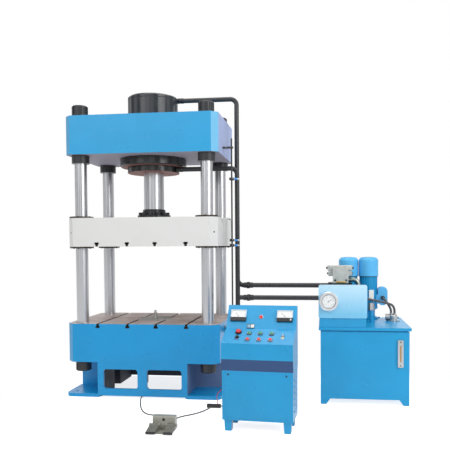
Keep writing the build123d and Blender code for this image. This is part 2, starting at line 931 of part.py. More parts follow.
# Pipe fittings: port nuts at the cylinder, unions by the uprights and flanges at the manifold
with BuildPart() as pipe_fittings:
    for port_x, port_y, port_z in (
        (upper_pipe_start, upper_pipe_y, upper_pipe_top),
        (lower_pipe_start, lower_pipe_y, lower_pipe_top),
    ):
        with BuildSketch(side_at(port_x, port_y, port_z)):
            draw_nut_ring(port_nut_diameter)
        extrude(amount=port_nut_length)
        with BuildSketch(side_at(port_x + port_nut_length, port_y, port_z)):
            draw_nut_ring(union_neck_diameter)
        extrude(amount=port_neck_length)
    for union_x, union_y, union_z in (
        (upper_pipe_x + pipe_bend, upper_pipe_y, upper_pipe_run),
        (lower_pipe_x + pipe_bend, lower_pipe_y, lower_pipe_run),
    ):
        with BuildSketch(side_at(union_x, union_y, union_z)):
            draw_nut_ring(union_neck_diameter)
        extrude(amount=2 * union_neck_length + union_length)
        with BuildSketch(side_at(union_x + union_neck_length, union_y, union_z)):
            draw_nut_ring(union_diameter, union_sides)
        extrude(amount=union_length)
        with BuildSketch(side_at(manifold_left, union_y, union_z)):
            draw_nut_ring(union_diameter, union_sides)
        extrude(amount=-union_length)
    with BuildSketch(side_at(press_width / 2, lower_pipe_y, ejector_line_height)):
        draw_nut_ring(port_nut_diameter)
    extrude(amount=port_nut_length)
write_piece(pipe_fittings, "pipe_fittings")

# Limit rail: a round bar on two brackets at the press's right side
with BuildPart() as limit_rail:
    with BuildSketch(level_at(rail_x, rail_y, rail_bottom)):
        Circle(rail_diameter / 2)
    extrude(amount=rail_top - rail_bottom)
    for bracket_height in (upper_bracket_height, lower_bracket_height):
        with BuildSketch(side_at(press_width / 2, rail_y, bracket_height)):
            Rectangle(rail_bracket_width, rail_bracket_height)
        extrude(amount=rail_x + rail_diameter - press_width / 2)
write_piece(limit_rail, "limit_rail")

# Limit switches: three proximity sensors clamped to the rail
with BuildPart() as limit_switches:
    for sensor_height in sensor_heights:
        with BuildSketch(level_at(rail_x, rail_y, sensor_height - sensor_clamp_height / 2)):
            Rectangle(sensor_clamp, sensor_clamp)
            Circle(rail_diameter / 2 + seat_clearance, mode=Mode.SUBTRACT)
        extrude(amount=sensor_clamp_height)
        with BuildSketch(side_at(rail_x + sensor_clamp / 2, rail_y, sensor_height)):
            Circle(sensor_diameter / 2)
        extrude(amount=sensor_length)
        with BuildSketch(side_at(rail_x + sensor_clamp / 2 + sensor_length, rail_y, sensor_height)):
            Circle(sensor_tip_diameter / 2)
        extrude(amount=sensor_tip_length)
write_piece(limit_switches, "limit_switches")

# Tank: a steel box on four folded feet, with a rim inside its open top
with BuildPart() as tank:
    with BuildSketch(level_at(unit_x, tank_front + tank_depth / 2, tank_foot_height)):
        Rectangle(tank_width, tank_depth)
    extrude(amount=tank_height)
    with BuildSketch(level_at(unit_x, tank_front + tank_depth / 2, tank_foot_height + tank_wall)):
        Rectangle(tank_width - 2 * tank_wall, tank_depth - 2 * tank_wall)
    extrude(amount=tank_height, mode=Mode.SUBTRACT)
    with BuildSketch(level_at(unit_x, tank_front + tank_depth / 2, lid_bottom)):
        Rectangle(tank_width - tank_wall, tank_depth - tank_wall)
        Rectangle(tank_width - 2 * tank_rim_width, tank_depth - 2 * tank_rim_width, mode=Mode.SUBTRACT)
    extrude(amount=-tank_wall)
    for side in (-1, 1):
        for foot_front in (tank_front, tank_front + tank_depth - tank_foot_depth):
            with BuildSketch(front_at(unit_x + side * tank_width / 2, foot_front, 0)):
                with BuildLine():
                    Polyline(
                        (0, 0), (-side * tank_foot_width, 0),
                        (-side * tank_foot_top, tank_foot_height), (0, tank_foot_height),
                        close=True,
                    )
                make_face()
            extrude(amount=-tank_foot_depth)
write_piece(tank, "tank")

# Tank lid: a plate on a set-back seam, with a hole under each motor
with BuildPart() as tank_lid:
    with BuildSketch(level_at(unit_x, panel_front + lid_depth / 2, lid_bottom)):
        Rectangle(tank_width - 2 * lid_seam_inset, tank_depth - 2 * lid_seam_inset)
    extrude(amount=lid_seam_height)
    with BuildSketch(level_at(unit_x, panel_front + lid_depth / 2, lid_bottom + lid_seam_height)):
        Rectangle(lid_width, lid_depth)
    extrude(amount=lid_thickness)
    for motor_x in motor_xs:
        with BuildSketch(level_at(motor_x, motor_y, lid_bottom)):
            Circle(motor_bell_waist_diameter / 2)
        extrude(amount=lid_seam_height + lid_thickness, mode=Mode.SUBTRACT)
write_piece(tank_lid, "tank_lid")

# Gauge panel: a folded cover on a set-back stand, with the gauge's hole
gauge_panel_middle = gauge_panel_left + gauge_panel_width / 2
gauge_panel_bottom = lid_top + panel_stand_height
with BuildPart() as gauge_panel:
    with BuildSketch(
        front_at(gauge_panel_middle, panel_front, gauge_panel_bottom + gauge_panel_height / 2)
    ) as panel_outline:
        Rectangle(gauge_panel_width, gauge_panel_height)
        fillet(panel_outline.vertices().group_by(Axis.Z)[0], gauge_panel_round)
    extrude(amount=-gauge_panel_return)
    with BuildSketch(
        front_at(
            gauge_panel_middle,
            panel_front + gauge_panel_wall,
            gauge_panel_bottom + gauge_panel_height / 2,
        )
    ):
        Rectangle(gauge_panel_width - 2 * gauge_panel_wall, gauge_panel_height - 2 * gauge_panel_wall)
    extrude(amount=-gauge_panel_return, mode=Mode.SUBTRACT)
    with BuildSketch(level_at(gauge_panel_middle, panel_front + panel_stand_inset, lid_top)):
        with Locations((0, (gauge_panel_return - panel_stand_inset) / 2)):
            Rectangle(gauge_panel_width - 2 * panel_stand_inset, gauge_panel_return - panel_stand_inset)
        with Locations((0, (gauge_panel_return - panel_stand_inset) / 2 + gauge_panel_wall)):
            Rectangle(
                gauge_panel_width - 2 * panel_stand_inset - 2 * gauge_panel_wall,
                gauge_panel_return - panel_stand_inset,
                mode=Mode.SUBTRACT,
            )
    extrude(amount=panel_stand_height)
    with BuildSketch(front_at(gauge_x, panel_front, gauge_height)):
        Circle(gauge_body_diameter / 2 + seat_clearance)
    extrude(amount=-gauge_panel_return, mode=Mode.SUBTRACT)
write_piece(gauge_panel, "gauge_panel")

# Pressure gauge: body behind the panel, rim in front and a pin for the needle
gauge_dial_front = panel_front - gauge_rim_depth + gauge_dial_depth
with BuildPart() as pressure_gauge:
    with BuildSketch(front_at(gauge_x, panel_front + gauge_body_depth, gauge_height)):
        Circle(gauge_body_diameter / 2)
    extrude(amount=gauge_body_depth)
    with BuildSketch(front_at(gauge_x, panel_front, gauge_height)):
        Circle(gauge_rim_diameter / 2)
    extrude(amount=gauge_rim_depth)
    chamfer(pressure_gauge.edges().group_by(Axis.Y)[0], gauge_dial_depth / 2)
    with BuildSketch(front_at(gauge_x, gauge_dial_front, gauge_height)):
        Circle(gauge_dial_diameter / 2)
    extrude(amount=gauge_rim_depth, mode=Mode.SUBTRACT)
    with BuildSketch(front_at(gauge_x, gauge_dial_front, gauge_height)):
        Circle(gauge_hub_diameter / 4)
    extrude(amount=2 * needle_lift)
write_piece(pressure_gauge, "pressure_gauge")

# Gauge needle: a hub on the gauge's pin with a pointer and a short tail
with BuildPart() as gauge_needle:
    with BuildSketch(front_at(gauge_x, gauge_dial_front - running_clearance, gauge_height)):
        Circle(gauge_hub_diameter / 2)
    extrude(amount=2 * needle_lift)
    with BuildSketch(front_at(gauge_x, gauge_dial_front - needle_lift, gauge_height)):
        Polygon(
            (-gauge_hub_diameter, -gauge_needle_width / 2),
            (0, -gauge_needle_width / 2),
            (gauge_needle_length, 0),
            (0, gauge_needle_width / 2),
            (-gauge_hub_diameter, gauge_needle_width / 2),
            rotation=needle_angle,
            align=None,
        )
    extrude(amount=gauge_needle_thickness)
    with BuildSketch(front_at(gauge_x, gauge_dial_front, gauge_height)):
        Circle(gauge_hub_diameter / 4 + running_clearance)
    extrude(amount=3 * needle_lift, mode=Mode.SUBTRACT)
write_piece(gauge_needle, "gauge_needle")

# Level gauge: a rounded bar with a window groove on the tank's front
with BuildPart() as level_gauge:
    with BuildSketch(front_at(level_x, tank_front, level_bottom + level_height / 2)):
        RectangleRounded(level_width, level_height, level_round)
    extrude(amount=level_depth)
    with BuildSketch(front_at(level_x, tank_front - level_depth / 2, level_bottom + level_height / 2)):
        SlotOverall(level_window_height, level_window_width, rotation=90)
    extrude(amount=level_depth, mode=Mode.SUBTRACT)
write_piece(level_gauge, "level_gauge")

# Manifold: the drilled block behind the panel that the pipes run to
with BuildPart() as manifold:
    with BuildSketch(
        level_at(manifold_left + manifold_width / 2, manifold_front + manifold_depth / 2, lid_top)
    ):
        Rectangle(manifold_width, manifold_depth)
    extrude(amount=manifold_height)
    for port_y, port_z in ((upper_pipe_y, upper_pipe_run), (lower_pipe_y, lower_pipe_run)):
        with BuildSketch(side_at(manifold_left, port_y, port_z)):
            Circle(pipe_diameter / 2 - pipe_wall)
        extrude(amount=manifold_width / 2, mode=Mode.SUBTRACT)
write_piece(manifold, "manifold")

# Directional valve: a tall block with two crossing bars and a knob at each bar's ends
valve_middle = valve_left + valve_width / 2
pilot_z = manifold_top + valve_height
main_z = pilot_z - main_solenoid_drop - pilot_height / 2
with BuildPart() as directional_valve:
    with BuildSketch(level_at(valve_middle, valve_front + valve_depth / 2, manifold_top)):
        Rectangle(valve_width, valve_depth)
    extrude(amount=valve_height)
    for bar_z, bar_width, bar_height in (
        (pilot_z, pilot_width, pilot_height),
        (main_z, main_solenoid_width, main_solenoid_height),
    ):
        with BuildSketch(side_at(valve_middle + pilot_shift, valve_front + valve_depth / 2, bar_z)):
            RectangleRounded(pilot_depth, bar_height, bar_height / 6)
        extrude(amount=bar_width / 2 - valve_knob_length, both=True)
        with BuildSketch(side_at(valve_middle + pilot_shift, valve_front + valve_depth / 2, bar_z)):
            Circle(valve_knob_diameter / 2)
        extrude(amount=bar_width / 2, both=True)
write_piece(directional_valve, "directional_valve")

# Unit pipes: the valve's return line, and the pump outlet with a union nut and a square switch
with BuildPart() as unit_pipes:
    with BuildLine():
        return_route = FilletPolyline(
            press_place(valve_left + valve_width, return_line_y, return_line_height),
            press_place(return_line_x, return_line_y, return_line_height),
            press_place(return_line_x, return_line_y, lid_top),
            radius=return_line_bend,
        )
    with BuildSketch(Plane(origin=return_route @ 0, z_dir=return_route % 0)):
        Circle(return_line_diameter / 2)
        Circle(return_line_diameter / 2 - pipe_wall, mode=Mode.SUBTRACT)
    sweep()
    with BuildSketch(level_at(outlet_x, outlet_y, lid_top)):
        Circle(outlet_pipe_diameter / 2)
    extrude(amount=outlet_cap_bottom - lid_top)
    with BuildSketch(level_at(outlet_x, outlet_y, outlet_nut_bottom)):
        RegularPolygon(outlet_nut_diameter / 2, 6)
    extrude(amount=outlet_nut_height)
    with BuildSketch(level_at(outlet_x, outlet_y, outlet_cap_bottom)):
        Rectangle(outlet_cap_width, outlet_cap_width)
    extrude(amount=outlet_cap_height)
write_piece(unit_pipes, "unit_pipes")

# Motors: bell housing, flange and finned body, standing on the lid
motor_flange_bottom = lid_top + motor_bell_height
motor_body_bottom = motor_flange_bottom + motor_flange_thickness
motor_body_top = motor_body_bottom + motor_body_height
with BuildPart() as motors:
    for motor_x in motor_xs:
        with BuildSketch(front_at(motor_x, motor_y, 0)):
            with BuildLine():
                Polyline(
                    (0, lid_top),
                    (motor_bell_foot_diameter / 2, lid_top),
                    (motor_bell_foot_diameter / 2, lid_top + motor_bell_foot_thickness),
                    (motor_bell_waist_diameter / 2, lid_top + 2 * motor_bell_foot_thickness),
                    (motor_bell_waist_diameter / 2, motor_flange_bottom - motor_bell_foot_thickness),
                    (motor_flange_diameter / 2, motor_flange_bottom),
                    (motor_flange_diameter / 2, motor_body_bottom),
                    (motor_diameter / 2 - motor_fin_height, motor_body_bottom),
                    (motor_diameter / 2 - motor_fin_height, motor_body_top),
                    (0, motor_body_top),
                    close=True,
                )
            make_face()
        revolve(axis=upright_axis(motor_x, motor_y))
        with BuildSketch(level_at(motor_x, motor_y, motor_body_bottom)):
            Circle(motor_diameter / 2 - motor_fin_height / 2)
            with PolarLocations(motor_diameter / 2 - motor_fin_height / 2, motor_fins):
                Rectangle(motor_fin_height, motor_fin_width)
        extrude(amount=motor_body_height - cowl_overlap)
        with BuildSketch(level_at(motor_x, motor_y, motor_body_top - cowl_overlap)):
            Circle(cowl_diameter / 2 - cowl_wall - seat_clearance)
        extrude(amount=cowl_overlap)
write_piece(motors, "motors")

# Fan cowls: rounded covers pushed over the motors' upper ends
cowl_bottom = motor_body_top - cowl_overlap
with BuildPart() as fan_cowls:
    for motor_x in motor_xs:
        with BuildSketch(front_at(motor_x, motor_y, 0)):
            with BuildLine():
                Polyline(
                    (0, cowl_bottom + cowl_height),
                    (cowl_diameter / 2, cowl_bottom + cowl_height),
                    (cowl_diameter / 2, cowl_bottom),
                    (cowl_diameter / 2 - cowl_wall, cowl_bottom),
                    (cowl_diameter / 2 - cowl_wall, cowl_bottom + cowl_height - cowl_wall),
                    (0, cowl_bottom + cowl_height - cowl_wall),
                    close=True,
                )
            make_face()
        revolve(axis=upright_axis(motor_x, motor_y))
    fillet(fan_cowls.edges().group_by(Axis.Z)[-1], cowl_round)
    fillet(
        fan_cowls.edges().filter_by_position(
            Axis.Z,
            cowl_bottom + cowl_height - 3 * cowl_wall / 2,
            cowl_bottom + cowl_height - cowl_wall / 2,
        ),
        cowl_round - cowl_wall,
    )
write_piece(fan_cowls, "fan_cowls")

# Terminal boxes: one on each motor's outer side, with a cable gland in front
with BuildPart() as terminal_boxes:
    for motor_x, side in zip(motor_xs, (-1, 1)):
        with BuildSketch(
            front_at(motor_x, motor_y - terminal_box_depth / 2, lid_top + terminal_box_rise)
        ) as box_outline:
            with Locations((side * (motor_diameter / 2 + terminal_box_width / 2), terminal_box_height / 2)):
                Rectangle(terminal_box_width, terminal_box_height)
            fillet(box_outline.vertices().group_by(Axis.Z)[-1], terminal_box_round)
        extrude(amount=-terminal_box_depth)
        with BuildSketch(front_at(motor_x, motor_y - terminal_box_depth / 2, lid_top + terminal_box_rise)):
            with Locations((side * motor_diameter / 2, terminal_box_height / 3)):
                Rectangle(terminal_box_width / 2, terminal_box_height / 2)
        extrude(amount=-terminal_box_depth)
        with BuildSketch(
            front_at(
                motor_x + side * (motor_diameter / 2 + terminal_box_width / 2),
                motor_y - terminal_box_depth / 2,
                lid_top + terminal_box_rise + terminal_gland_rise,
            )
        ):
            Circle(terminal_gland_diameter / 2)
        extrude(amount=terminal_gland_length)
        with BuildSketch(level_at(motor_x, motor_y, lid_top)):
            Circle(motor_diameter / 2 + seat_clearance)
        extrude(amount=motor_body_top - lid_top, mode=Mode.SUBTRACT)
write_piece(terminal_boxes, "terminal_boxes")

# Filler: a neck and a breather cap at the back of the lid
with BuildPart() as filler_cap:
    with BuildSketch(level_at(filler_x, filler_y, lid_top)):
        Circle(filler_neck_diameter / 2)
    extrude(amount=filler_neck_height)
    with BuildSketch(level_at(filler_x, filler_y, lid_top + filler_neck_height)):
        Circle(filler_cap_diameter / 2)
    extrude(amount=filler_cap_height)
    chamfer(filler_cap.edges().group_by(Axis.Z)[-1], cable_gland_diameter / 3)
write_piece(filler_cap, "filler_cap")

# Conduit fitting: a disc on the lid, an upright body with a side mouth and two cable glands
with BuildPart() as conduit_fitting:
    with BuildSketch(level_at(conduit_x, conduit_y, lid_top)):
        Circle(conduit_disc_diameter / 2)
    extrude(amount=conduit_disc_thickness)
    with BuildSketch(level_at(conduit_x, conduit_y, lid_top + conduit_disc_thickness)):
        Circle(conduit_body_diameter / 2)
    extrude(amount=conduit_body_height)
    fillet(conduit_fitting.edges().group_by(Axis.Z)[-1], conduit_body_height / 4)
    with BuildSketch(
        side_at(conduit_x, conduit_y, lid_top + conduit_disc_thickness + conduit_mouth_diameter / 2)
    ):
        Circle(conduit_mouth_diameter / 2)
    extrude(amount=-conduit_body_diameter / 2 - conduit_mouth_length)
    with BuildSketch(level_at(conduit_x, conduit_y, lid_top + conduit_disc_thickness)):
        with GridLocations(conduit_gland_spacing, 0, 2, 1):
            Circle(conduit_gland_diameter / 2)
    extrude(amount=conduit_body_height + conduit_gland_height)
write_piece(conduit_fitting, "conduit_fitting")


def draw_button_row(row, shape_radius):
    """Draw one circle for each push button of a row."""
    for shift in button_shifts:
        with Locations((shift, row)):
            Circle(shape_radius)


# Console: a sheet housing with a sloping desk and panel, on a cabinet with louvres and feet
side_x_dir = (0, 1, 0)
side_z_dir = (1, 0, 0)
with BuildPart() as console_cabinet:
    with BuildSketch(console_plane((-housing_width / 2, 0, 0), side_x_dir, side_z_dir)):
        with BuildLine():
            Polyline(
                (0, cabinet_top), (-apron_reach, apron_bottom), (-apron_reach, apron_top),
                (desk_back, desk_back_height), (panel_back, panel_top),
                (console_depth, panel_top), (console_depth, cabinet_top),
                close=True,
            )
        make_face()
    extrude(amount=housing_width)
    with BuildSketch(console_plane((-cabinet_width / 2, 0, 0), side_x_dir, side_z_dir)):
        with Locations((console_depth / 2, (cabinet_bottom + cabinet_top) / 2)):
            Rectangle(console_depth, cabinet_top - cabinet_bottom)
    extrude(amount=cabinet_width)
    with BuildSketch(console_plane((-housing_width / 2 + sheet, 0, 0), side_x_dir, side_z_dir)):
        with BuildLine():
            Polyline(
                (0, cabinet_top), (-apron_reach, apron_bottom), (-apron_reach, apron_top),
                (desk_back, desk_back_height), (panel_back, panel_top),
                (console_depth, panel_top), (console_depth, cabinet_top),
                close=True,
            )
        make_face()
        offset(amount=-sheet, kind=Kind.INTERSECTION, mode=Mode.REPLACE)
    extrude(amount=housing_width - 2 * sheet, mode=Mode.SUBTRACT)
    with BuildSketch(console_plane((-cabinet_width / 2 + sheet, 0, 0), side_x_dir, side_z_dir)):
        with Locations((console_depth / 2, (cabinet_bottom + cabinet_top) / 2 + sheet)):
            Rectangle(console_depth - 2 * sheet, cabinet_top - cabinet_bottom)
    extrude(amount=cabinet_width - 2 * sheet, mode=Mode.SUBTRACT)
    with BuildSketch(console_plane((0, console_depth / 2, cabinet_bottom), (1, 0, 0), (0, 0, 1))):
        Rectangle(cable_port_width, cable_port_depth)
    extrude(amount=sheet, mode=Mode.SUBTRACT)
    with BuildSketch(
        console_plane((0, 0, (cabinet_bottom + cabinet_top) / 2), (1, 0, 0), (0, -1, 0))
    ) as cover_outline:
        Rectangle(cabinet_cover_width, cabinet_cover_height)
        chamfer(cover_outline.vertices(), cabinet_cover_thickness)
    extrude(amount=cabinet_cover_thickness)
    for side in (-1, 1):
        for row in range(louvre_rows):
            louvre_z = louvre_bottom + row * louvre_pitch
            with BuildSketch(
                console_plane((side * cabinet_width / 2, louvre_front, louvre_z), (1, 0, 0), (0, -1, 0))
            ):
                with BuildLine():
                    Polyline((0, 0), (side * louvre_depth, 0), (0, louvre_height), close=True)
                make_face()
            extrude(amount=-louvre_length)
        for leg_front in (leg_inset, console_depth - leg_inset - leg_depth):
            leg_outside = side * leg_span / 2
            leg_taper = (leg_top - leg_bottom) / 2
            with BuildSketch(console_plane((leg_outside, leg_front, 0), (1, 0, 0), (0, -1, 0))):
                with BuildLine():
                    Polyline(
                        (-side * leg_taper, 0), (0, cabinet_bottom),
                        (-side * leg_top, cabinet_bottom), (-side * (leg_taper + leg_bottom), 0),
                        close=True,
                    )
                make_face()
            extrude(amount=-leg_depth)
    with BuildSketch(desk_plane(0, 0)):
        draw_button_row(start_row, button_cap_diameter / 2 + button_clearance)
        draw_button_row(stop_row, button_cap_diameter / 2 + button_clearance)
        with Locations((emergency_shift, emergency_row), (selector_shift, selector_row)):
            Circle(emergency_neck_diameter / 2 + button_clearance)
        with Locations((key_switch_shift, key_switch_row + key_plate_height / 4)):
            Circle(key_lever_diameter)
    extrude(amount=-3 * sheet, mode=Mode.SUBTRACT)
    with BuildSketch(panel_plane(0, 0)):
        with Locations((0, meter_rise)):
            with GridLocations(meter_spacing, 0, 2, 1):
                Circle(meter_barrel_diameter / 2 + seat_clearance)
        with Locations((lamp_shift, lamp_rise), (counter_shift, counter_rise)):
            Circle(lamp_barrel_diameter / 2 + seat_clearance)
    extrude(amount=-3 * sheet, mode=Mode.SUBTRACT)
write_piece(console_cabinet, "console_cabinet")

# Panel meters: square cases with a dial recess above a plain cover, and a pin for the needle
meter_dial_height = meter_height - meter_cover_height - meter_frame
meter_pivot_rise = meter_rise - meter_height / 2 + meter_cover_height + meter_hub_diameter
with BuildPart() as panel_meters:
    with BuildSketch(panel_plane(0, meter_rise)):
        with GridLocations(meter_spacing, 0, 2, 1):
            Rectangle(meter_width, meter_height)
    extrude(amount=meter_depth)
    with BuildSketch(panel_plane(0, meter_rise)):
        with GridLocations(meter_spacing, 0, 2, 1):
            Circle(meter_barrel_diameter / 2)
    extrude(amount=-meter_barrel_length)
    with BuildSketch(panel_plane(0, meter_rise, meter_depth - meter_dial_depth)):
        with Locations((0, (meter_cover_height - meter_frame) / 2)):
            with GridLocations(meter_spacing, 0, 2, 1):
                Rectangle(meter_width - 2 * meter_frame, meter_dial_height)
    extrude(amount=meter_dial_depth, mode=Mode.SUBTRACT)
    with BuildSketch(panel_plane(0, meter_pivot_rise, meter_depth - meter_dial_depth)):
        with GridLocations(meter_spacing, 0, 2, 1):
            Circle(meter_hub_diameter / 4)
    extrude(amount=meter_dial_depth * 2 / 3)
write_piece(panel_meters, "panel_meters")

# Meter needles: each a hub on its meter's pin with a pointer at the low end of the dial
for needle_name, needle_side in (("meter_needle_left", -1), ("meter_needle_right", 1)):
    needle_x = needle_side * meter_spacing / 2
    with BuildPart() as meter_needle:
        with BuildSketch(panel_plane(needle_x, meter_pivot_rise, meter_depth - meter_dial_depth)):
            Circle(meter_hub_diameter / 2)
        extrude(amount=meter_dial_depth / 2)
        with BuildSketch(
            panel_plane(
                needle_x, meter_pivot_rise, meter_depth - meter_dial_depth + meter_needle_thickness
            )
        ):
            with Locations(Location((0, 0), 90 + meter_needle_range / 2)):
                with Locations((meter_needle_length / 2, 0)):
                    Rectangle(meter_needle_length, meter_needle_width)
        extrude(amount=meter_needle_thickness)
        with BuildSketch(panel_plane(needle_x, meter_pivot_rise, meter_depth - meter_dial_depth)):
            Circle(meter_hub_diameter / 4 + running_clearance)
        extrude(amount=meter_dial_depth, mode=Mode.SUBTRACT)
    write_piece(meter_needle, needle_name)

# Panel fittings: button plates with rings, switch plates, labels, the lamp and the counter
with BuildPart() as panel_fittings:
    for row in (start_row, stop_row):
        for shift in button_shifts:
            with BuildSketch(desk_plane(shift, row)):
                Rectangle(button_plate, button_plate)
                Circle(button_cap_diameter / 2 + button_clearance, mode=Mode.SUBTRACT)
            extrude(amount=button_plate_thickness)
            with BuildSketch(desk_plane(shift, row, button_plate_thickness)):
                Circle(button_ring_diameter / 2)
                Circle(button_cap_diameter / 2 + button_clearance, mode=Mode.SUBTRACT)
            extrude(amount=button_ring_height)
    with BuildSketch(desk_plane(emergency_shift, emergency_row)):
        Circle(emergency_plate_diameter / 2)
        Circle(emergency_neck_diameter / 2 + button_clearance, mode=Mode.SUBTRACT)
    extrude(amount=2 * button_plate_thickness)
    with BuildSketch(desk_plane(selector_shift, selector_row)):
        Circle(button_ring_diameter / 2)
        Circle(emergency_neck_diameter / 2 + button_clearance, mode=Mode.SUBTRACT)
    extrude(amount=2 * button_plate_thickness)
    with BuildSketch(desk_plane(selector_shift, selector_row - selector_plate_gap)):
        Rectangle(label_width, label_height)
    extrude(amount=button_plate_thickness)
    with BuildSketch(desk_plane(key_switch_shift, key_switch_row)):
        Rectangle(key_plate_width, key_plate_height)
        with Locations((0, key_plate_height / 4)):
            Circle(key_lever_diameter, mode=Mode.SUBTRACT)
    extrude(amount=button_plate_thickness)
    with BuildSketch(panel_plane(counter_shift, counter_rise)):
        Rectangle(counter_width, counter_height)
    extrude(amount=counter_depth)
    with BuildSketch(panel_plane(lamp_shift, lamp_rise)):
        Circle(lamp_diameter / 2)
    extrude(amount=lamp_height)
    with BuildSketch(panel_plane(0, 0)):
        with Locations((lamp_shift, lamp_rise), (counter_shift, counter_rise)):
            Circle(lamp_barrel_diameter / 2)
    extrude(amount=-lamp_barrel_length)
write_piece(panel_fittings, "panel_fittings")

# Push buttons: a cap in each ring with its stem below
for row, row_name in ((start_row, "start_button"), (stop_row, "stop_button")):
    for number, shift in enumerate(button_shifts, start=1):
        with BuildPart() as push_button:
            with BuildSketch(desk_plane(shift, row, button_rise)):
                Circle(button_cap_diameter / 2)
            extrude(amount=button_cap_height)
            chamfer(push_button.edges().group_by(Axis.Z)[-1], button_edge_cut)
            with BuildSketch(desk_plane(shift, row, button_rise)):
                Circle(button_stem_diameter / 2)
            extrude(amount=-button_stem_length)
        write_piece(push_button, f"{row_name}_{number}")

# Emergency stop: a mushroom head on a neck that runs through the desk
with BuildPart() as emergency_stop:
    with BuildSketch(
        desk_plane(
            emergency_shift,
            emergency_row,
            2 * button_plate_thickness + emergency_stroke + button_clearance,
        )
    ):
        Circle(emergency_head_diameter / 2)
    extrude(amount=emergency_head_height)
    fillet(
        emergency_stop.edges().filter_by(GeomType.CIRCLE).sort_by(Axis.Z)[-1],
        emergency_head_height / 2,
    )
    with BuildSketch(
        desk_plane(
            emergency_shift,
            emergency_row,
            2 * button_plate_thickness + emergency_stroke + button_clearance,
        )
    ):
        Circle(emergency_neck_diameter / 2)
    extrude(amount=-2 * emergency_neck_height)
write_piece(emergency_stop, "emergency_stop")

# Selector switch: a round knob with a raised grip
with BuildPart() as selector_switch:
    with BuildSketch(desk_plane(selector_shift, selector_row, -button_stem_length / 2)):
        Circle(emergency_neck_diameter / 2)
    extrude(amount=button_stem_length / 2 + 3 * button_plate_thickness)
    with BuildSketch(desk_plane(selector_shift, selector_row, 3 * button_plate_thickness)):
        SlotOverall(selector_knob_length, selector_knob_width, rotation=90)
    extrude(amount=selector_knob_height - 3 * button_plate_thickness)
write_piece(selector_switch, "selector_switch")

# Key switch: a short lever on a round boss that turns in its plate
with BuildPart() as key_switch:
    with BuildSketch(desk_plane(key_switch_shift, key_switch_row + key_plate_height / 4, -sheet)):
        Circle(key_lever_diameter - button_clearance)
    extrude(amount=2 * sheet + button_plate_thickness)
    with BuildSketch(desk_plane(key_switch_shift, key_switch_row + key_plate_height / 4, sheet)):
        Rectangle(key_lever_diameter / 2, key_lever_width)
    extrude(amount=key_lever_length - sheet)
write_piece(key_switch, "key_switch")

# Foot switch body: base plate, housing with a hole, ears with a pin, and two cable glands
switch_rear = switch_face + switch_back_depth
ear_spacing = pedal_width + 2 * seat_clearance + pedal_ear_thickness
pedal_pin_z = pedal_rear_height - pedal_thickness / 2
with BuildPart() as footswitch_body:
    with BuildSketch(
        level_at(switch_x, (switch_front + switch_base_inset + switch_rear) / 2, 0)
    ) as base_outline:
        Rectangle(switch_width, switch_rear - switch_front - switch_base_inset)
        fillet(base_outline.vertices(), switch_base_thickness)
    extrude(amount=switch_base_thickness)
    with BuildSketch(side_at(switch_x - switch_width / 2, switch_face, 0)) as housing_outline:
        with Locations((switch_back_depth / 2, switch_height / 2)):
            Rectangle(switch_back_depth, switch_height)
        fillet(housing_outline.vertices().group_by(Axis.Z)[-1], switch_roof_round)
    extrude(amount=switch_width)
    with BuildSketch(side_at(switch_x - switch_width / 2 + switch_wall, switch_face + switch_wall, 0)):
        with Locations((switch_back_depth / 2 - switch_wall, (switch_height - switch_wall) / 2)):
            Rectangle(switch_back_depth - 2 * switch_wall, switch_height - switch_wall)
    extrude(amount=switch_width - 2 * switch_wall, mode=Mode.SUBTRACT)
    with BuildSketch(front_at(switch_x, switch_face, switch_hole_height)):
        Circle(switch_hole_diameter / 2)
    extrude(amount=-switch_wall, mode=Mode.SUBTRACT)
    for pedal_side in (-1, 1):
        pedal_x = switch_x + pedal_side * pedal_spacing / 2
        for ear_side in (-1, 1):
            ear_x = pedal_x + ear_side * ear_spacing / 2 - pedal_ear_thickness / 2
            with BuildSketch(side_at(ear_x, pedal_rear, pedal_pin_z)):
                Circle(pedal_pin_diameter)
                with Locations(((switch_face - pedal_rear) / 2, 0)):
                    Rectangle(switch_face - pedal_rear, 2 * pedal_pin_diameter)
            extrude(amount=pedal_ear_thickness)
        with BuildSketch(side_at(pedal_x - ear_spacing / 2, pedal_rear, pedal_pin_z)):
            Circle(pedal_pin_diameter / 2)
        extrude(amount=ear_spacing)
    with BuildSketch(front_at(switch_x, switch_rear, cable_gland_height)):
        with GridLocations(cable_gland_spacing, 0, 2, 1):
            Circle(cable_gland_diameter / 2)
    extrude(amount=-cable_gland_length)
write_piece(footswitch_body, "footswitch_body")

# Pedals: sloping plates with a deep front lip, each turning on its pin
for pedal_name, pedal_side in (("pedal_left", -1), ("pedal_right", 1)):
    pedal_x = switch_x + pedal_side * pedal_spacing / 2
    with BuildPart() as pedal:
        with BuildSketch(side_at(pedal_x - pedal_width / 2, 0, 0)):
            with BuildLine():
                Polyline(
                    (pedal_rear, pedal_rear_height),
                    (switch_front, pedal_front_height),
                    (switch_front, pedal_front_height - pedal_lip_height),
                    (switch_front + pedal_thickness, pedal_front_height - pedal_lip_height),
                    (switch_front + pedal_thickness, pedal_front_height - pedal_thickness),
                    (pedal_rear, pedal_rear_height - pedal_thickness),
                    close=True,
                )
            make_face()
        extrude(amount=pedal_width)
        with BuildSketch(side_at(pedal_x - pedal_width / 2, pedal_rear, pedal_pin_z)):
            Circle(pedal_tube_diameter / 2)
        extrude(amount=pedal_width)
        with BuildSketch(side_at(pedal_x - pedal_width / 2, pedal_rear, pedal_pin_z)):
            Circle(pedal_pin_diameter / 2 + running_clearance)
        extrude(amount=pedal_width, mode=Mode.SUBTRACT)
    write_piece(pedal, pedal_name)

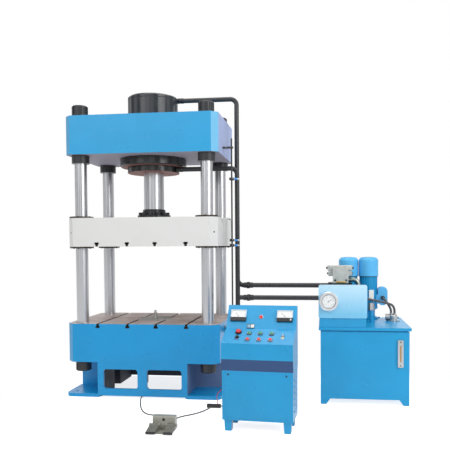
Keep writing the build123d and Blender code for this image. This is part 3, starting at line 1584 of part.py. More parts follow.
# Junction box: on the inner face of the base's front mullion, with a gland below
junction_rear = -press_depth / 2 + base_wall + junction_depth
junction_gland_y = -press_depth / 2 + base_wall + junction_gland_inset
junction_gland_end = junction_bottom - junction_gland_height
with BuildPart() as junction_box:
    with BuildSketch(front_at(0, junction_rear, junction_bottom + junction_height / 2)):
        Rectangle(junction_width, junction_height)
    extrude(amount=junction_depth)
    with BuildSketch(level_at(junction_x, junction_gland_y, junction_bottom)):
        Circle(junction_gland_diameter / 2)
    extrude(amount=-junction_gland_height)
write_piece(junction_box, "junction_box")

# Cable connector: a round coupling on the floor with a gland on its side
connector_axis = connector_diameter / 2
connector_middle = connector_x + connector_lead_shift
with BuildPart() as cable_connector:
    with BuildSketch(side_at(connector_x, connector_y, connector_axis)):
        Circle(connector_diameter / 2)
    extrude(amount=connector_length)
    with BuildSketch(front_at(connector_middle, connector_y, connector_axis)):
        Circle(cable_gland_diameter / 2)
    extrude(amount=connector_axis + cable_gland_length / 2)
write_piece(cable_connector, "cable_connector")


def widest_radii(places):
    """Give each inner corner of a route the widest arc that its two runs leave room for."""
    points = [Vector(*place) for place in places]
    radii = []
    for before, corner, after in zip(points, points[1:], points[2:]):
        run_in = corner - before
        run_out = after - corner
        half_turn = radians(run_in.get_angle(run_out)) / 2
        radii.append(arc_share * min(run_in.length, run_out.length) / tan(half_turn))
    return radii


def lay_cable(name, diameter, places):
    """Make a cable along a route of places of the press, and print its arcs and its volume."""
    route_places = [press_place(*place) for place in places]
    radii = widest_radii(route_places)
    with BuildPart() as cable:
        with BuildLine():
            route = FilletPolyline(*route_places, radius=radii)
        with BuildSketch(Plane(origin=route @ 0, z_dir=route % 0)):
            Circle(diameter / 2)
        sweep()
    expected = pi * diameter**2 / 4 * route.length
    print(name, "radii", [round(radius) for radius in radii])
    print(name, "volume", round(cable.part.volume), "section times length", round(expected))
    write_piece(cable, name)


floor_z = floor_cable_diameter / 2 + floor_gap
gland_left_x = switch_x - cable_gland_spacing / 2
gland_right_x = switch_x + cable_gland_spacing / 2
gland_end_y = switch_rear + cable_gland_length

# Left pedal cable: from the junction box, under the base's rail and across the floor
pedal_cable_left_route = [
    (junction_x, junction_gland_y, junction_gland_end),
    (junction_x, junction_gland_y, 56),
    (junction_x - 2, junction_gland_y - 18, 10),
    (-11, -420, floor_z),
    (4, -482, floor_z),
    (30, -564, floor_z),
    (58, -652, floor_z),
    (92, -742, floor_z),
    (136, -832, floor_z),
    (188, -896, floor_z),
    (250, -918, floor_z),
    (312, -898, floor_z),
    (366, -922, floor_z),
    (398, -968, floor_z),
    (404, -1022, floor_z),
    (402, -1072, 10),
    (gland_left_x, -1124, cable_gland_height),
    (gland_left_x, gland_end_y, cable_gland_height),
]
lay_cable("pedal_cable_left", floor_cable_diameter, pedal_cable_left_route)

# Right pedal cable: from the foot switch to the connector's side
pedal_cable_right_route = [
    (gland_right_x, gland_end_y, cable_gland_height),
    (gland_right_x, -1124, cable_gland_height),
    (438, -1068, 10),
    (438, -1010, floor_z),
    (450, -956, floor_z),
    (486, -912, floor_z),
    (532, -874, floor_z),
    (572, -826, floor_z),
    (604, -772, floor_z),
    (connector_middle, -730, connector_axis),
    (connector_middle, connector_y - connector_axis - cable_gland_length / 2, connector_axis),
]
lay_cable("pedal_cable_right", floor_cable_diameter, pedal_cable_right_route)

# Console lead: from the connector's end, round to a hole low in the console's back
lead_port = console_place(lead_port_x, console_depth, lead_port_height)
lead_port_place = (lead_port.X - press_x, lead_port.Y - press_y, lead_port.Z)
lead_rear = console_place(lead_port_x, console_depth + lead_port_run, lead_port_height)
lead_rear_place = (lead_rear.X - press_x, lead_rear.Y - press_y, lead_rear.Z)
console_lead_route = [
    (connector_x + connector_length, connector_y, connector_axis),
    (762, connector_y, connector_axis),
    (820, -686, floor_z),
    (892, -736, floor_z),
    (958, -772, floor_z),
    (1016, -812, 7),
    (1050, -856, 34),
    (1056, -892, 84),
    lead_rear_place,
    lead_port_place,
]
lay_cable("console_lead", floor_cable_diameter, console_lead_route)

# Sensor wire: from the rail's foot, hanging down to the connector's back
sensor_wire_route = [
    (rail_x, rail_y, rail_bottom),
    (rail_x, rail_y, 484),
    (rail_x + 4, rail_y - 30, 402),
    (rail_x + 2, rail_y - 84, 316),
    (rail_x - 6, rail_y - 150, 236),
    (rail_x - 18, rail_y - 216, 164),
    (rail_x - 36, rail_y - 276, 110),
    (rail_x - 60, rail_y - 336, 96),
    (rail_x - 78, rail_y - 384, 74),
    (rail_x - 66, rail_y - 424, 44),
    (connector_x + 80, rail_y - 456, 24),
    (connector_x + 78, connector_y + connector_axis, connector_axis),
]
lay_cable("sensor_wire", wire_diameter, sensor_wire_route)

# Motor cables: from the manifold's side and from the right terminal box into the conduit fitting
conduit_top = lid_top + conduit_disc_thickness + conduit_body_height + conduit_gland_height
motor_cable_left_route = [
    (manifold_left + manifold_width, motor_cable_y, motor_cable_z),
    (unit_x - 47, motor_cable_y, motor_cable_z),
    (unit_x - 3, -118, 845),
    (unit_x + 42, -134, 838),
    (unit_x + 87, -139, 829),
    (unit_x + 131, -129, 820),
    (unit_x + 169, -106, 810),
    (unit_x + 203, -77, 800),
    (unit_x + 235, -46, 789),
    (unit_x + 263, -15, 777),
    (unit_x + 280, 1, 758),
    (conduit_x + conduit_gland_spacing / 2, conduit_y, conduit_top + 28),
    (conduit_x + conduit_gland_spacing / 2, conduit_y, conduit_top),
]
terminal_gland_x = motor_xs[1] + motor_diameter / 2 + terminal_box_width / 2
terminal_gland_end = motor_y - terminal_box_depth / 2 - terminal_gland_length
terminal_gland_z = lid_top + terminal_box_rise + terminal_gland_rise
motor_cable_right_route = [
    (terminal_gland_x, terminal_gland_end, terminal_gland_z),
    (terminal_gland_x, terminal_gland_end - 23, terminal_gland_z),
    (terminal_gland_x + 5, 38, 823),
    (unit_x + 213, 18, 810),
    (unit_x + 226, 5, 792),
    (unit_x + 239, 1, 770),
    (unit_x + 255, 8, 741),
    (conduit_x - conduit_gland_spacing / 2, conduit_y, conduit_top + 15),
    (conduit_x - conduit_gland_spacing / 2, conduit_y, conduit_top),
]
lay_cable("motor_cable_left", motor_cable_diameter, motor_cable_left_route)
lay_cable("motor_cable_right", motor_cable_diameter, motor_cable_right_route)
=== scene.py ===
import logging
from dataclasses import dataclass, field
from enum import Enum
from math import atan2, cos, pi, radians, sin
from typing import Any, Iterable, Iterator, Optional, Sequence

import bmesh
import bpy
from mathutils import Matrix, Vector


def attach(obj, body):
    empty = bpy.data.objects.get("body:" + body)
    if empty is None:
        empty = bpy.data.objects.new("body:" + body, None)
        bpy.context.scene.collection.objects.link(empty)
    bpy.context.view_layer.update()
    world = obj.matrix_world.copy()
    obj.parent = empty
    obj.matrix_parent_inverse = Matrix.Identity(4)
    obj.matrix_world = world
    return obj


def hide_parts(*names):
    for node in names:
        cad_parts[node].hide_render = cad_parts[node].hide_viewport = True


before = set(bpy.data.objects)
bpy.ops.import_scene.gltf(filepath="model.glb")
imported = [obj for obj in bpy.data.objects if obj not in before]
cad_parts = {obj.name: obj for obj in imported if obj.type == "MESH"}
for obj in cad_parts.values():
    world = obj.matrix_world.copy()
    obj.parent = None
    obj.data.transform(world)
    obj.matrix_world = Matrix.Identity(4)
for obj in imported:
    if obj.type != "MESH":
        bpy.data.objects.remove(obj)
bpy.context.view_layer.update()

LOG = logging.getLogger("hydraulic_press")

Tree = bpy.types.NodeTree
Socket = bpy.types.NodeSocket
Point = Sequence[float]

# The meshes are laid out in millimetres of the press's own axis and turned to metres here. The console has a
# frame of its own, with one more in it for the sloping desk and one for the meter panel. The cables, the
# lamps and the camera are in metres of the scene.
MM = 0.001
PRESS = Matrix.Translation((-0.780, 0.4795, 0.0)) @ Matrix.Scale(MM, 4)
CONSOLE = PRESS @ Matrix.Translation((1086.0, -1237.0, 0.0)) @ Matrix.Rotation(radians(-4.5), 4, "Z")
DESK = CONSOLE @ Matrix.Translation((0.0, -17.0, 623.0)) @ Matrix.Rotation(atan2(83.0, 156.0), 4, "X")
PANEL = CONSOLE @ Matrix.Translation((0.0, 139.0, 706.0)) @ Matrix.Rotation(atan2(159.0, 95.0), 4, "X")

COLUMN_X = 559.0
COLUMN_Y = 326.5
SLIDE_TOP = 1549.0
WHITE = (1.0, 1.0, 1.0, 1.0)
BARE_STEEL = "7C8488"


class Toward(Enum):
    """Directions that a turned part or a screw can face."""

    RIGHT = (1.0, 0.0, 0.0)
    FRONT = (0.0, -1.0, 0.0)
    DOWN = (0.0, 0.0, -1.0)
    UP = (0.0, 0.0, 1.0)

    def turn(self) -> Matrix:
        """Give the turn from upright to this direction."""
        return Vector((0.0, 0.0, 1.0)).rotation_difference(Vector(self.value)).to_matrix().to_4x4()


def around(count: int, radius: float, start: float = 0.0) -> Iterator[tuple[float, float, float]]:
    """Give even places round a circle.

    Args:
        count: How many there are.
        radius: The circle's radius.
        start: The first one's angle in radians.

    Yields:
        Each place's x and y, and its angle.
    """
    for number in range(count):
        angle = 2 * pi * number / count + start
        yield radius * cos(angle), radius * sin(angle), angle


def add_object(name: str, data: bpy.types.ID) -> bpy.types.Object:
    """Make an object and link it to the scene.

    Args:
        name: The object's name.
        data: Its mesh, curve, light or camera.

    Returns:
        The object.
    """
    made = bpy.data.objects.new(name, data)
    bpy.context.scene.collection.objects.link(made)
    return made


def empty_tree(owner: Any) -> Tree:
    """Turn nodes on in a material or a world, and clear what it starts with.

    Args:
        owner: The material or the world.

    Returns:
        Its empty node tree.
    """
    owner.use_nodes = True
    owner.node_tree.nodes.clear()
    return owner.node_tree


def linear(colour: str, share: float = 1.0) -> tuple[float, float, float, float]:
    """Turn an sRGB hex colour to the linear values that Blender's sockets hold.

    Args:
        colour: Six hex digits.
        share: The share of its brightness that is kept.

    Returns:
        Red, green, blue and an alpha of 1.
    """
    channels = [int(colour[start:start + 2], 16) / 255 for start in (0, 2, 4)]
    lit = (c / 12.92 if c <= 0.04045 else ((c + 0.055) / 1.055) ** 2.4 for c in channels)
    red, green, blue = (share * c for c in lit)
    return (red, green, blue, 1.0)


def add_node(tree: Tree, kind: str, settings: Optional[dict] = None) -> bpy.types.Node:
    """Add a shader node with its settings and links.

    Args:
        tree: The material's or the world's node tree.
        kind: The node's type without its ShaderNode prefix.
        settings: Values by name. A name in lower case is a property of the node, and any other name or
            number is an input. A socket as the value is linked to that input.

    Returns:
        The new node.
    """
    node = tree.nodes.new("ShaderNode" + kind)
    for name, value in (settings or {}).items():
        if isinstance(name, str) and name[0].islower():
            setattr(node, name, value)
        elif isinstance(value, Socket):
            tree.links.new(value, node.inputs[name])
        else:
            node.inputs[name].default_value = value
    return node


def blend_values(tree: Tree, where: Socket, first: Any, second: Any) -> Any:
    """Mix two numbers or two colours by a mask.

    Args:
        tree: The material's node tree.
        where: The mask's socket, 0 for the first value and 1 for the second.
        first: The value or socket where the mask is 0.
        second: The value or socket where the mask is 1.

    Returns:
        The mix's output socket, or the value itself where both are the same.
    """
    if first is second or (isinstance(first, float) and first == second):
        return first
    if any(isinstance(value, tuple) or getattr(value, "type", "") == "RGBA" for value in (first, second)):
        return add_node(tree, "Mix", {"data_type": "RGBA", 0: where, 6: first, 7: second}).outputs[2]
    return add_node(tree, "Mix", {"data_type": "FLOAT", 0: where, 2: first, 3: second}).outputs[0]


def place_in_object(tree: Tree, scale: Point = (1.0, 1.0, 1.0)) -> Socket:
    """Give the surface's place in metres, stretched where a pattern is.

    Args:
        tree: The material's node tree.
        scale: The factor along each axis.

    Returns:
        The place's vector socket.
    """
    place = add_node(tree, "TexCoord").outputs["Object"]
    if tuple(scale) == (1.0, 1.0, 1.0):
        return place
    return add_node(tree, "Mapping", {"Vector": place, "Scale": tuple(scale)}).outputs[0]


def mottle(tree: Tree, size_mm: float, detail: float = 3.0, scale: Point = (1.0, 1.0, 1.0)) -> Socket:
    """Give a cloudy pattern whose patches are of a size in millimetres.

    Args:
        tree: The material's node tree.
        size_mm: A patch's size.
        detail: How many finer octaves it has.
        scale: The factor along each axis, below 1 to draw the patches out.

    Returns:
        The pattern's value socket, around 0.5.
    """
    settings = {"Vector": place_in_object(tree, scale), "Scale": 1.0 / (size_mm * MM), "Detail": detail}
    return add_node(tree, "TexNoise", settings).outputs["Fac"]


def clouds(
    tree: Tree, size_mm: float, low: float, high: float, to: Point = (0.0, 1.0), detail: float = 3.0,
    scale: Point = (1.0, 1.0, 1.0),
) -> Socket:
    """Give a cloudy pattern whose middle part is stretched over a whole range.

    Args:
        tree: The material's node tree.
        size_mm: A cloud's size.
        low: The pattern's value that gives the range's first end.
        high: The pattern's value that gives the range's second end.
        to: The range's two ends.
        detail: How many finer octaves it has.
        scale: The factor along each axis, below 1 to draw the clouds out.

    Returns:
        The stretched value's socket.
    """
    pattern = mottle(tree, size_mm, detail, scale)
    settings = {"Value": pattern, "From Min": low, "From Max": high, "To Min": to[0], "To Max": to[1]}
    return add_node(tree, "MapRange", settings).outputs[0]


def worn_edges(tree: Tree, radius_mm: float, wear: float) -> Socket:
    """Find the outer edges, where hands and tools rub the coat away.

    Args:
        tree: The material's node tree.
        radius_mm: How far from the edge the wear reaches.
        wear: How bare the worn spots are, up to 1.

    Returns:
        A mask that holds the wear on the worn spots and 0 elsewhere.
    """
    rounded = add_node(tree, "Bevel", {"samples": 4, "Radius": radius_mm * MM}).outputs[0]
    flat = add_node(tree, "NewGeometry").outputs["True Normal"]
    match = add_node(tree, "VectorMath", {"operation": "DOT_PRODUCT", 0: rounded, 1: flat}).outputs["Value"]
    # The wear starts where the rounding turns 6 degrees from the face, and is full at 22
    edge = add_node(tree, "MapRange", {"Value": match, "From Min": 0.995, "From Max": 0.93}).outputs[0]
    patches = clouds(tree, 9.0, 0.52, 0.62, (0.0, wear), 5.0)
    return add_node(tree, "Math", {"operation": "MULTIPLY", 0: edge, 1: patches}).outputs[0]


def grained(tree: Tree, edge_mm: float, strength: float, depth_mm: float, grain: Socket) -> Socket:
    """Round the shaded edges and raise a fine grain on the skin.

    Args:
        tree: The material's node tree.
        edge_mm: The edges' rounding.
        strength: How much of the grain shows.
        depth_mm: The grain's depth.
        grain: The grain's pattern.

    Returns:
        The normal's socket.
    """
    edge = add_node(tree, "Bevel", {"samples": 4, "Radius": edge_mm * MM}).outputs[0]
    settings = {"Strength": strength, "Distance": depth_mm * MM, "Height": grain, "Normal": edge}
    return add_node(tree, "Bump", settings).outputs[0]


@dataclass
class Surface:
    """What a finish gives the shader: sockets where it varies, plain values where it doesn't."""

    colour: Any
    metallic: Any = 0.0
    roughness: Any = 0.5
    normal: Any = None

    def blend(self, tree: Tree, where: Socket, other: "Surface") -> "Surface":
        """Mix another surface in by a mask, and keep this one's grain.

        Args:
            tree: The material's node tree.
            where: The mask's socket, 1 where the other surface shows.
            other: The other surface.

        Returns:
            The mixed surface.
        """
        colour = blend_values(tree, where, self.colour, other.colour)
        metallic = blend_values(tree, where, self.metallic, other.metallic)
        roughness = blend_values(tree, where, self.roughness, other.roughness)
        return Surface(colour, metallic, roughness, self.normal)


@dataclass(frozen=True)
class Finish:
    """A surface finish. Each kind says in surface() how it colours, shines and wears."""

    name: str

    ior = 1.5
    coat = 0.0
    alpha = 1.0

    def surface(self, tree: Tree) -> Surface:
        """Make the finish's sockets in a node tree.

        Args:
            tree: The material's node tree.

        Returns:
            What the shader is given.
        """
        raise NotImplementedError

    def material(self) -> bpy.types.Material:
        """Make the finish's material, or find it where it is already made.

        Returns:
            The material.
        """
        made = bpy.data.materials.get(self.name)
        if made:
            return made
        made = bpy.data.materials.new(self.name)
        tree = empty_tree(made)
        look = self.surface(tree)
        settings = {
            "Base Color": look.colour, "Metallic": look.metallic, "Roughness": look.roughness,
            "IOR": self.ior, "Alpha": self.alpha, "Coat Weight": self.coat, "Coat Roughness": 0.06,
        }
        if look.normal is not None:
            settings["Normal"] = look.normal
        shader = add_node(tree, "BsdfPrincipled", settings)
        add_node(tree, "OutputMaterial", {"Surface": shader.outputs[0]})
        return made


@dataclass(frozen=True)
class Coloured(Finish):
    """A finish with one main colour, in sRGB hex digits."""

    colour: str


@dataclass(frozen=True)
class Enamel(Coloured):
    """Sprayed machine enamel: glossy, with a faint orange peel, and worn to the metal on sharp edges.

    Real orange peel is 2 to 4 mm across. It is drawn coarser on the large plates, or it wouldn't show.
    """

    sheen_loss: float = 0.3
    peel_mm: float = 8.0
    peel: float = 0.015
    edge_mm: float = 3.0
    wear: float = 0.12
    shade: float = 0.93

    ior = 1.4
    coat = 0.04

    def surface(self, tree: Tree) -> Surface:
        """Vary the coat's tone over a hand's width, dull it in patches and round its edges.

        Args:
            tree: The material's node tree.

        Returns:
            What the shader is given.
        """
        tone = clouds(tree, 260.0, 0.35, 0.65)
        paint = blend_values(tree, tone, linear(self.colour), linear(self.colour, self.shade))
        colour = blend_values(tree, worn_edges(tree, self.edge_mm, self.wear), paint, linear(BARE_STEEL))
        roughness = clouds(tree, 70.0, 0.3, 0.7, (self.sheen_loss - 0.04, self.sheen_loss + 0.09), 5.0)
        normal = grained(tree, self.edge_mm, self.peel, 1.0, mottle(tree, self.peel_mm, 1.0))
        return Surface(colour, 0.0, roughness, normal)


@dataclass(frozen=True)
class MilledSteel(Coloured):
    """Machined steel: fine cutter lines along one axis, and stains where hands and oil have been.

    Real cutter lines are some 0.3 mm apart. They are drawn coarser, or they wouldn't show.
    """

    gloss: float = 0.38
    line_mm: float = 1.6
    lines_along: int = 0
    stain: str = "7D7169"
    metallic: float = 1.0

    def surface(self, tree: Tree) -> Surface:
        """Draw the cutter lines out a hundred times their width and cloud the steel with stains.

        Args:
            tree: The material's node tree.

        Returns:
            What the shader is given.
        """
        stretch = [1.0, 1.0, 1.0]
        stretch[self.lines_along] = 0.01
        lines = mottle(tree, self.line_mm, 4.0, stretch)
        stains = clouds(tree, 180.0, 0.42, 0.68, (0.0, 0.8), 6.0)
        colour = blend_values(tree, stains, linear(self.colour), linear(self.stain))
        roughness = add_node(tree, "MapRange", {
            "Value": lines, "From Min": 0.3, "From Max": 0.7,
            "To Min": self.gloss - 0.08, "To Max": self.gloss + 0.14,
        }).outputs[0]
        return Surface(colour, self.metallic, roughness, grained(tree, 1.0, 0.12, 0.3, lines))


@dataclass(frozen=True)
class HardChrome(Coloured):
    """Ground and hard-chromed bar: a soft mirror under a film of oil."""

    gloss: float = 0.3

    def surface(self, tree: Tree) -> Surface:
        """Smear the mirror a little along the bar, where the oil film is thicker.

        Args:
            tree: The material's node tree.

        Returns:
            What the shader is given.
        """
        film = clouds(tree, 400.0, 0.35, 0.7, (self.gloss, self.gloss + 0.03), 2.0, (1.0, 1.0, 0.4))
        return Surface(linear(self.colour), 1.0, film)


@dataclass(frozen=True)
class CastMetal(Coloured):
    """Painted or bare casting: a fine sand grain and soft edges.

    Real sand leaves a grain of about 0.5 mm. It is drawn coarser, or it wouldn't show.
    """

    metallic: float = 0.2
    gloss: float = 0.45
    grain_mm: float = 1.5
    grain: float = 0.25

    def surface(self, tree: Tree) -> Surface:
        """Roughen the skin with the sand's grain and darken its hollows.

        Args:
            tree: The material's node tree.

        Returns:
            What the shader is given.
        """
        hollows = clouds(tree, 40.0, 0.4, 0.7, detail=5.0)
        colour = blend_values(tree, hollows, linear(self.colour), linear(self.colour, 0.8))
        normal = grained(tree, 1.5, self.grain, 0.3, mottle(tree, self.grain_mm, 4.0))
        return Surface(colour, self.metallic, self.gloss, normal)


@dataclass(frozen=True)
class Moulded(Coloured):
    """Moulded plastic: an even colour with the mould's fine spark grain.

    A real spark grain is 0.1 to 0.3 mm. It is drawn coarser, or it wouldn't show.
    """

    gloss: float = 0.35
    grain_mm: float = 0.9
    grain: float = 0.06

    def surface(self, tree: Tree) -> Surface:
        """Grain the skin and let the gloss wander a little, as handled plastic does.

        Args:
            tree: The material's node tree.

        Returns:
            What the shader is given.
        """
        gloss = clouds(tree, 25.0, 0.3, 0.7, (self.gloss - 0.05, self.gloss + 0.08), 4.0)
        normal = grained(tree, 0.6, self.grain, 0.2, mottle(tree, self.grain_mm, 2.0))
        return Surface(linear(self.colour), 0.0, gloss, normal)


@dataclass(frozen=True)
class ClearGlass(Coloured):
    """Thin cover glass: all but clear, with sharp reflections."""

    ior = 1.45
    alpha = 0.12

    def surface(self, tree: Tree) -> Surface:
        """Leave the pane smooth, with a touch of dust in its gloss.

        Args:
            tree: The material's node tree.

        Returns:
            What the shader is given.
        """
        return Surface(linear(self.colour), 0.0, clouds(tree, 30.0, 0.3, 0.7, (0.02, 0.07)))


@dataclass(frozen=True)
class Bound:
    """A limit along one axis of the press, in millimetres, that a zone lies above or below."""

    axis: int
    limit: float
    above: bool = True


@dataclass(frozen=True)
class Zoned(Finish):
    """A part whose finish gives way to others in set zones, as on a block with a machined face."""

    base: Finish
    zones: tuple[tuple[Finish, tuple[Bound, ...]], ...]

    def surface(self, tree: Tree) -> Surface:
        """Mix each zone's finish in where all of its bounds hold.

        Args:
            tree: The material's node tree.

        Returns:
            What the shader is given.
        """
        place = add_node(tree, "SeparateXYZ", {0: place_in_object(tree)})
        look = self.base.surface(tree)
        for finish, bounds in self.zones:
            mask = None
            for bound in bounds:
                test = add_node(tree, "Math", {
                    "operation": "GREATER_THAN" if bound.above else "LESS_THAN",
                    0: place.outputs[bound.axis], 1: bound.limit * MM + PRESS.translation[bound.axis],
                }).outputs[0]
                mask = test if mask is None else add_node(tree, "Math", {
                    "operation": "MULTIPLY", 0: mask, 1: test,
                }).outputs[0]
            look = look.blend(tree, mask, finish.surface(tree))
        return look


@dataclass(frozen=True)
class SheenPaintedOnSide(Coloured):
    """Enamel with a painted reflection, in the main colour here, on the faces that look to the right."""

    base: Finish
    slant: float

    axis = 0
    test = "GREATER_THAN"
    dullness = 0.5

    def surface(self, tree: Tree) -> Surface:
        """Mix the painted colour in where the face looks that way by more than the slant.

        Args:
            tree: The material's node tree.

        Returns:
            What the shader is given.
        """
        normal = add_node(tree, "NewGeometry").outputs["True Normal"]
        facing = add_node(tree, "SeparateXYZ", {0: normal}).outputs[self.axis]
        mask = add_node(tree, "Math", {"operation": self.test, 0: facing, 1: self.slant}).outputs[0]
        return self.base.surface(tree).blend(tree, mask, Surface(linear(self.colour), 0.0, self.dullness))


@dataclass(frozen=True)
class PrimerAndShadeBelow(SheenPaintedOnSide):
    """Enamel whose downward faces take the main colour here: red primer under the gland and the ring, painted
    shade under the console, and a grey lilac under the crown.
    """

    axis = 2
    test = "LESS_THAN"
    dullness = 0.6


@dataclass(frozen=True)
class SheenPaintedToTop(Coloured):
    """Enamel with a painted sheen, in the main colour here, that grows towards its top edge."""

    base: Finish
    rise: tuple[float, float]

    def surface(self, tree: Tree) -> Surface:
        """Paint the sheen in from the first height to the second.

        Args:
            tree: The material's node tree.

        Returns:
            What the shader is given.
        """
        look = self.base.surface(tree)
        height = add_node(tree, "SeparateXYZ", {0: place_in_object(tree)}).outputs[2]
        foot, top = (MM * limit for limit in self.rise)
        sheen_share = add_node(tree, "MapRange", {"Value": height, "From Min": foot, "From Max": top}).outputs[0]
        return look.blend(tree, sheen_share, Surface(linear(self.colour), 0.0, look.roughness))


# Sprayed enamels: an even, glossy coat. The crown's lighter blue and the gauge panel's pale blue are painted
# light; the dull blue under the bed and the near black inside the base are painted shade.
PRESS_BLUE = Enamel("sky_blue_machine_enamel", "009BDA")
# Painted light: the crown takes the press blue made lighter, for the light that falls on the top of the
# press.
CROWN_LIT_BLUE = Enamel("sky_blue_enamel_painted_lighter_on_the_crown", "1FA0D8")
CONSOLE_BLUE = Enamel("light_blue_powder_coat", "149DD6", peel_mm=3.0, edge_mm=1.5, wear=0.06)
TANK_BLUE = Enamel("sky_blue_tank_enamel", "1E9FD6", edge_mm=1.5, wear=0.08)
# Painted sheen: the gauge panel is the tank's blue made pale, and paler still towards its top, for the light
# that it reflects.
PANEL_SHEEN_COAT = Enamel("panel_enamel_painted_pale_for_sheen", "7ECBF0", edge_mm=1.2, wear=0.05)
PANEL_SHEEN_BLUE = SheenPaintedToTop("panel_enamel_with_painted_sheen_to_top", "BEE5FA", PANEL_SHEEN_COAT, (740.0, 960.0))
# Painted shade: a dull grey blue for the recess under the bed's right end.
UNDER_BED_SHADE = Enamel("grey_blue_painted_shade_under_the_bed", "6C80A4", sheen_loss=0.5)
COWL_BLUE = Enamel("blue_motor_enamel", "5CBCF2", edge_mm=1.5, wear=0.05)
SHADE_BLUE = Enamel("unlit_blue_enamel_inside", "0B1A2C", sheen_loss=0.6)
BLACK_ENAMEL = Enamel("black_machine_enamel", "2B2C2E", sheen_loss=0.22, edge_mm=2.0)
PRIMED_BLACK = PrimerAndShadeBelow("black_enamel_with_primed_underside", "96625B", BLACK_ENAMEL, -0.9)
BARREL_BLACK = Enamel("glossy_black_barrel_enamel", "3C3D3F", sheen_loss=0.12, edge_mm=2.0)
PIPE_BLACK = Enamel("black_pipe_enamel", "3A3B3D", sheen_loss=0.26, edge_mm=1.0)
BLACK_OXIDE = Enamel("blackened_steel", "313235", sheen_loss=0.34, wear=0.3, edge_mm=1.2)
SLIDE_WHITE = Enamel("off_white_machine_enamel", "E2E2E0", sheen_loss=0.36, wear=0.05, shade=0.97)

# Machined, plated and chromed steel: lines from the tool on the flat ones, a soft mirror on the round ones
TABLE_STEEL = MilledSteel("milled_table_steel", "CCBFBA", gloss=0.42, stain="A6877D", metallic=0.45)
SLOT_STEEL = MilledSteel("milled_slot_steel", "8B8783", gloss=0.45, lines_along=1)
PLATE_STEEL = MilledSteel("turned_plate_steel", "C6C2BE", gloss=0.36)
PIN_STEEL = MilledSteel("ground_pin_steel", "A2A3A3", gloss=0.4)
ZINC_STEEL = MilledSteel("zinc_plated_steel", "C3C5C8", 0.28, 0.8, lines_along=2, stain="A9A9A6")
RETURN_STEEL = MilledSteel("green_zinc_return_line", "A9B4AC", 0.3, 0.8, lines_along=2, stain="7E8A82")
CHROME = HardChrome("hard_chromed_bar", "C2C3C7")
TRIM_CHROME = HardChrome("chromed_trim", "C9CACC", gloss=0.2)
GAUGE_RIM = HardChrome("satin_gauge_rim", "DFE0E3")
BRASS = HardChrome("turned_brass", "E0B45E", gloss=0.35)

# Castings: a matt, sandy skin
GREY_CASTING = CastMetal("grey_painted_casting", "C6C9C4", metallic=0.25)
DARK_CASTING = CastMetal("dark_burnished_bronze", "4A443C", metallic=0.8, gloss=0.4)
PALE_CASTING = CastMetal("warm_grey_casting", "A09F95", metallic=0.1)
PEDAL_CASTING = CastMetal("dark_grey_pedal_casting", "77776F", metallic=0.1)

# Plastics, rubber and print: even colours, satin on the housings and shinier on the buttons and the lens
BLACK_PLASTIC = Moulded("black_polyamide", "1A1A1C")
GREY_PLASTIC = Moulded("grey_polyamide", "6D7073")
WHITE_PLASTIC = Moulded("white_polyamide", "ECECE8")
CREAM_PLASTIC = Moulded("cream_phenolic", "D8CFAE")
BLUE_PLASTIC = Moulded("blue_polyamide", "3C93E6")
SLATE_PLASTIC = Moulded("slate_polyamide", "5A6474")
GREEN_PLASTIC = Moulded("green_button_plastic", "2B9A62", gloss=0.25)
RED_PLASTIC = Moulded("red_button_plastic", "DA343A", gloss=0.25)
LENS_RED = Moulded("red_lamp_lens", "E0261E", gloss=0.12)
AMBER = Moulded("amber_oil_in_sight_tube", "C98A2C", gloss=0.1)
DIAL_WHITE = Moulded("printed_dial_card", "FAFAF8", gloss=0.5, grain=0.0)
# Painted shade for the inside wall of the gauge's rim.
RIM_SHADE_INK = Moulded("painted_shade_inside_the_gauge_rim", "17181A", gloss=0.5, grain=0.0)
FAINT_INK = Moulded("faint_dial_ink", "B4B8BC", gloss=0.5, grain=0.0)
CLEAR_RIM = Moulded("pale_meter_cover", "CFDAE2", gloss=0.2)
LABEL_BLUE = Moulded("grey_blue_label_plate", "4F6C94")
COUNTER_BLUE = Moulded("pale_blue_counter_window", "86B4D2", gloss=0.25)
CABLE_RUBBER = Moulded("cable_rubber", "161617", gloss=0.5, grain_mm=1.2)
RED_WIRE = Moulded("red_wire_jacket", "B3202A", gloss=0.4)
COVER_GLASS = ClearGlass("cover_glass", "F6FAFA")


def dress(finish: Finish, *nodes: str) -> None:
    """Give CAD nodes their finish.

    Args:
        finish: The finish.
        nodes: The nodes' names.
    """
    for node in nodes:
        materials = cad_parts[node].data.materials
        materials.clear()
        materials.append(finish.material())
        LOG.info("%s dressed in %s", node, finish.name)


def set_piece(
    name: str, data: bpy.types.ID, body: str, instead_of: Sequence[str],
) -> bpy.types.Object:
    """Stand a mesh or a curve in the scene as a piece that moves with its body.

    Args:
        name: The piece's name.
        data: Its mesh or curve.
        body: The CAD body that it rides on.
        instead_of: The CAD nodes that it stands for.

    Returns:
        The piece.
    """
    piece = add_object(name, data)
    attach(piece, body)
    if instead_of:
        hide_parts(*instead_of)
    LOG.info("%s stands on %s", name, body)
    return piece


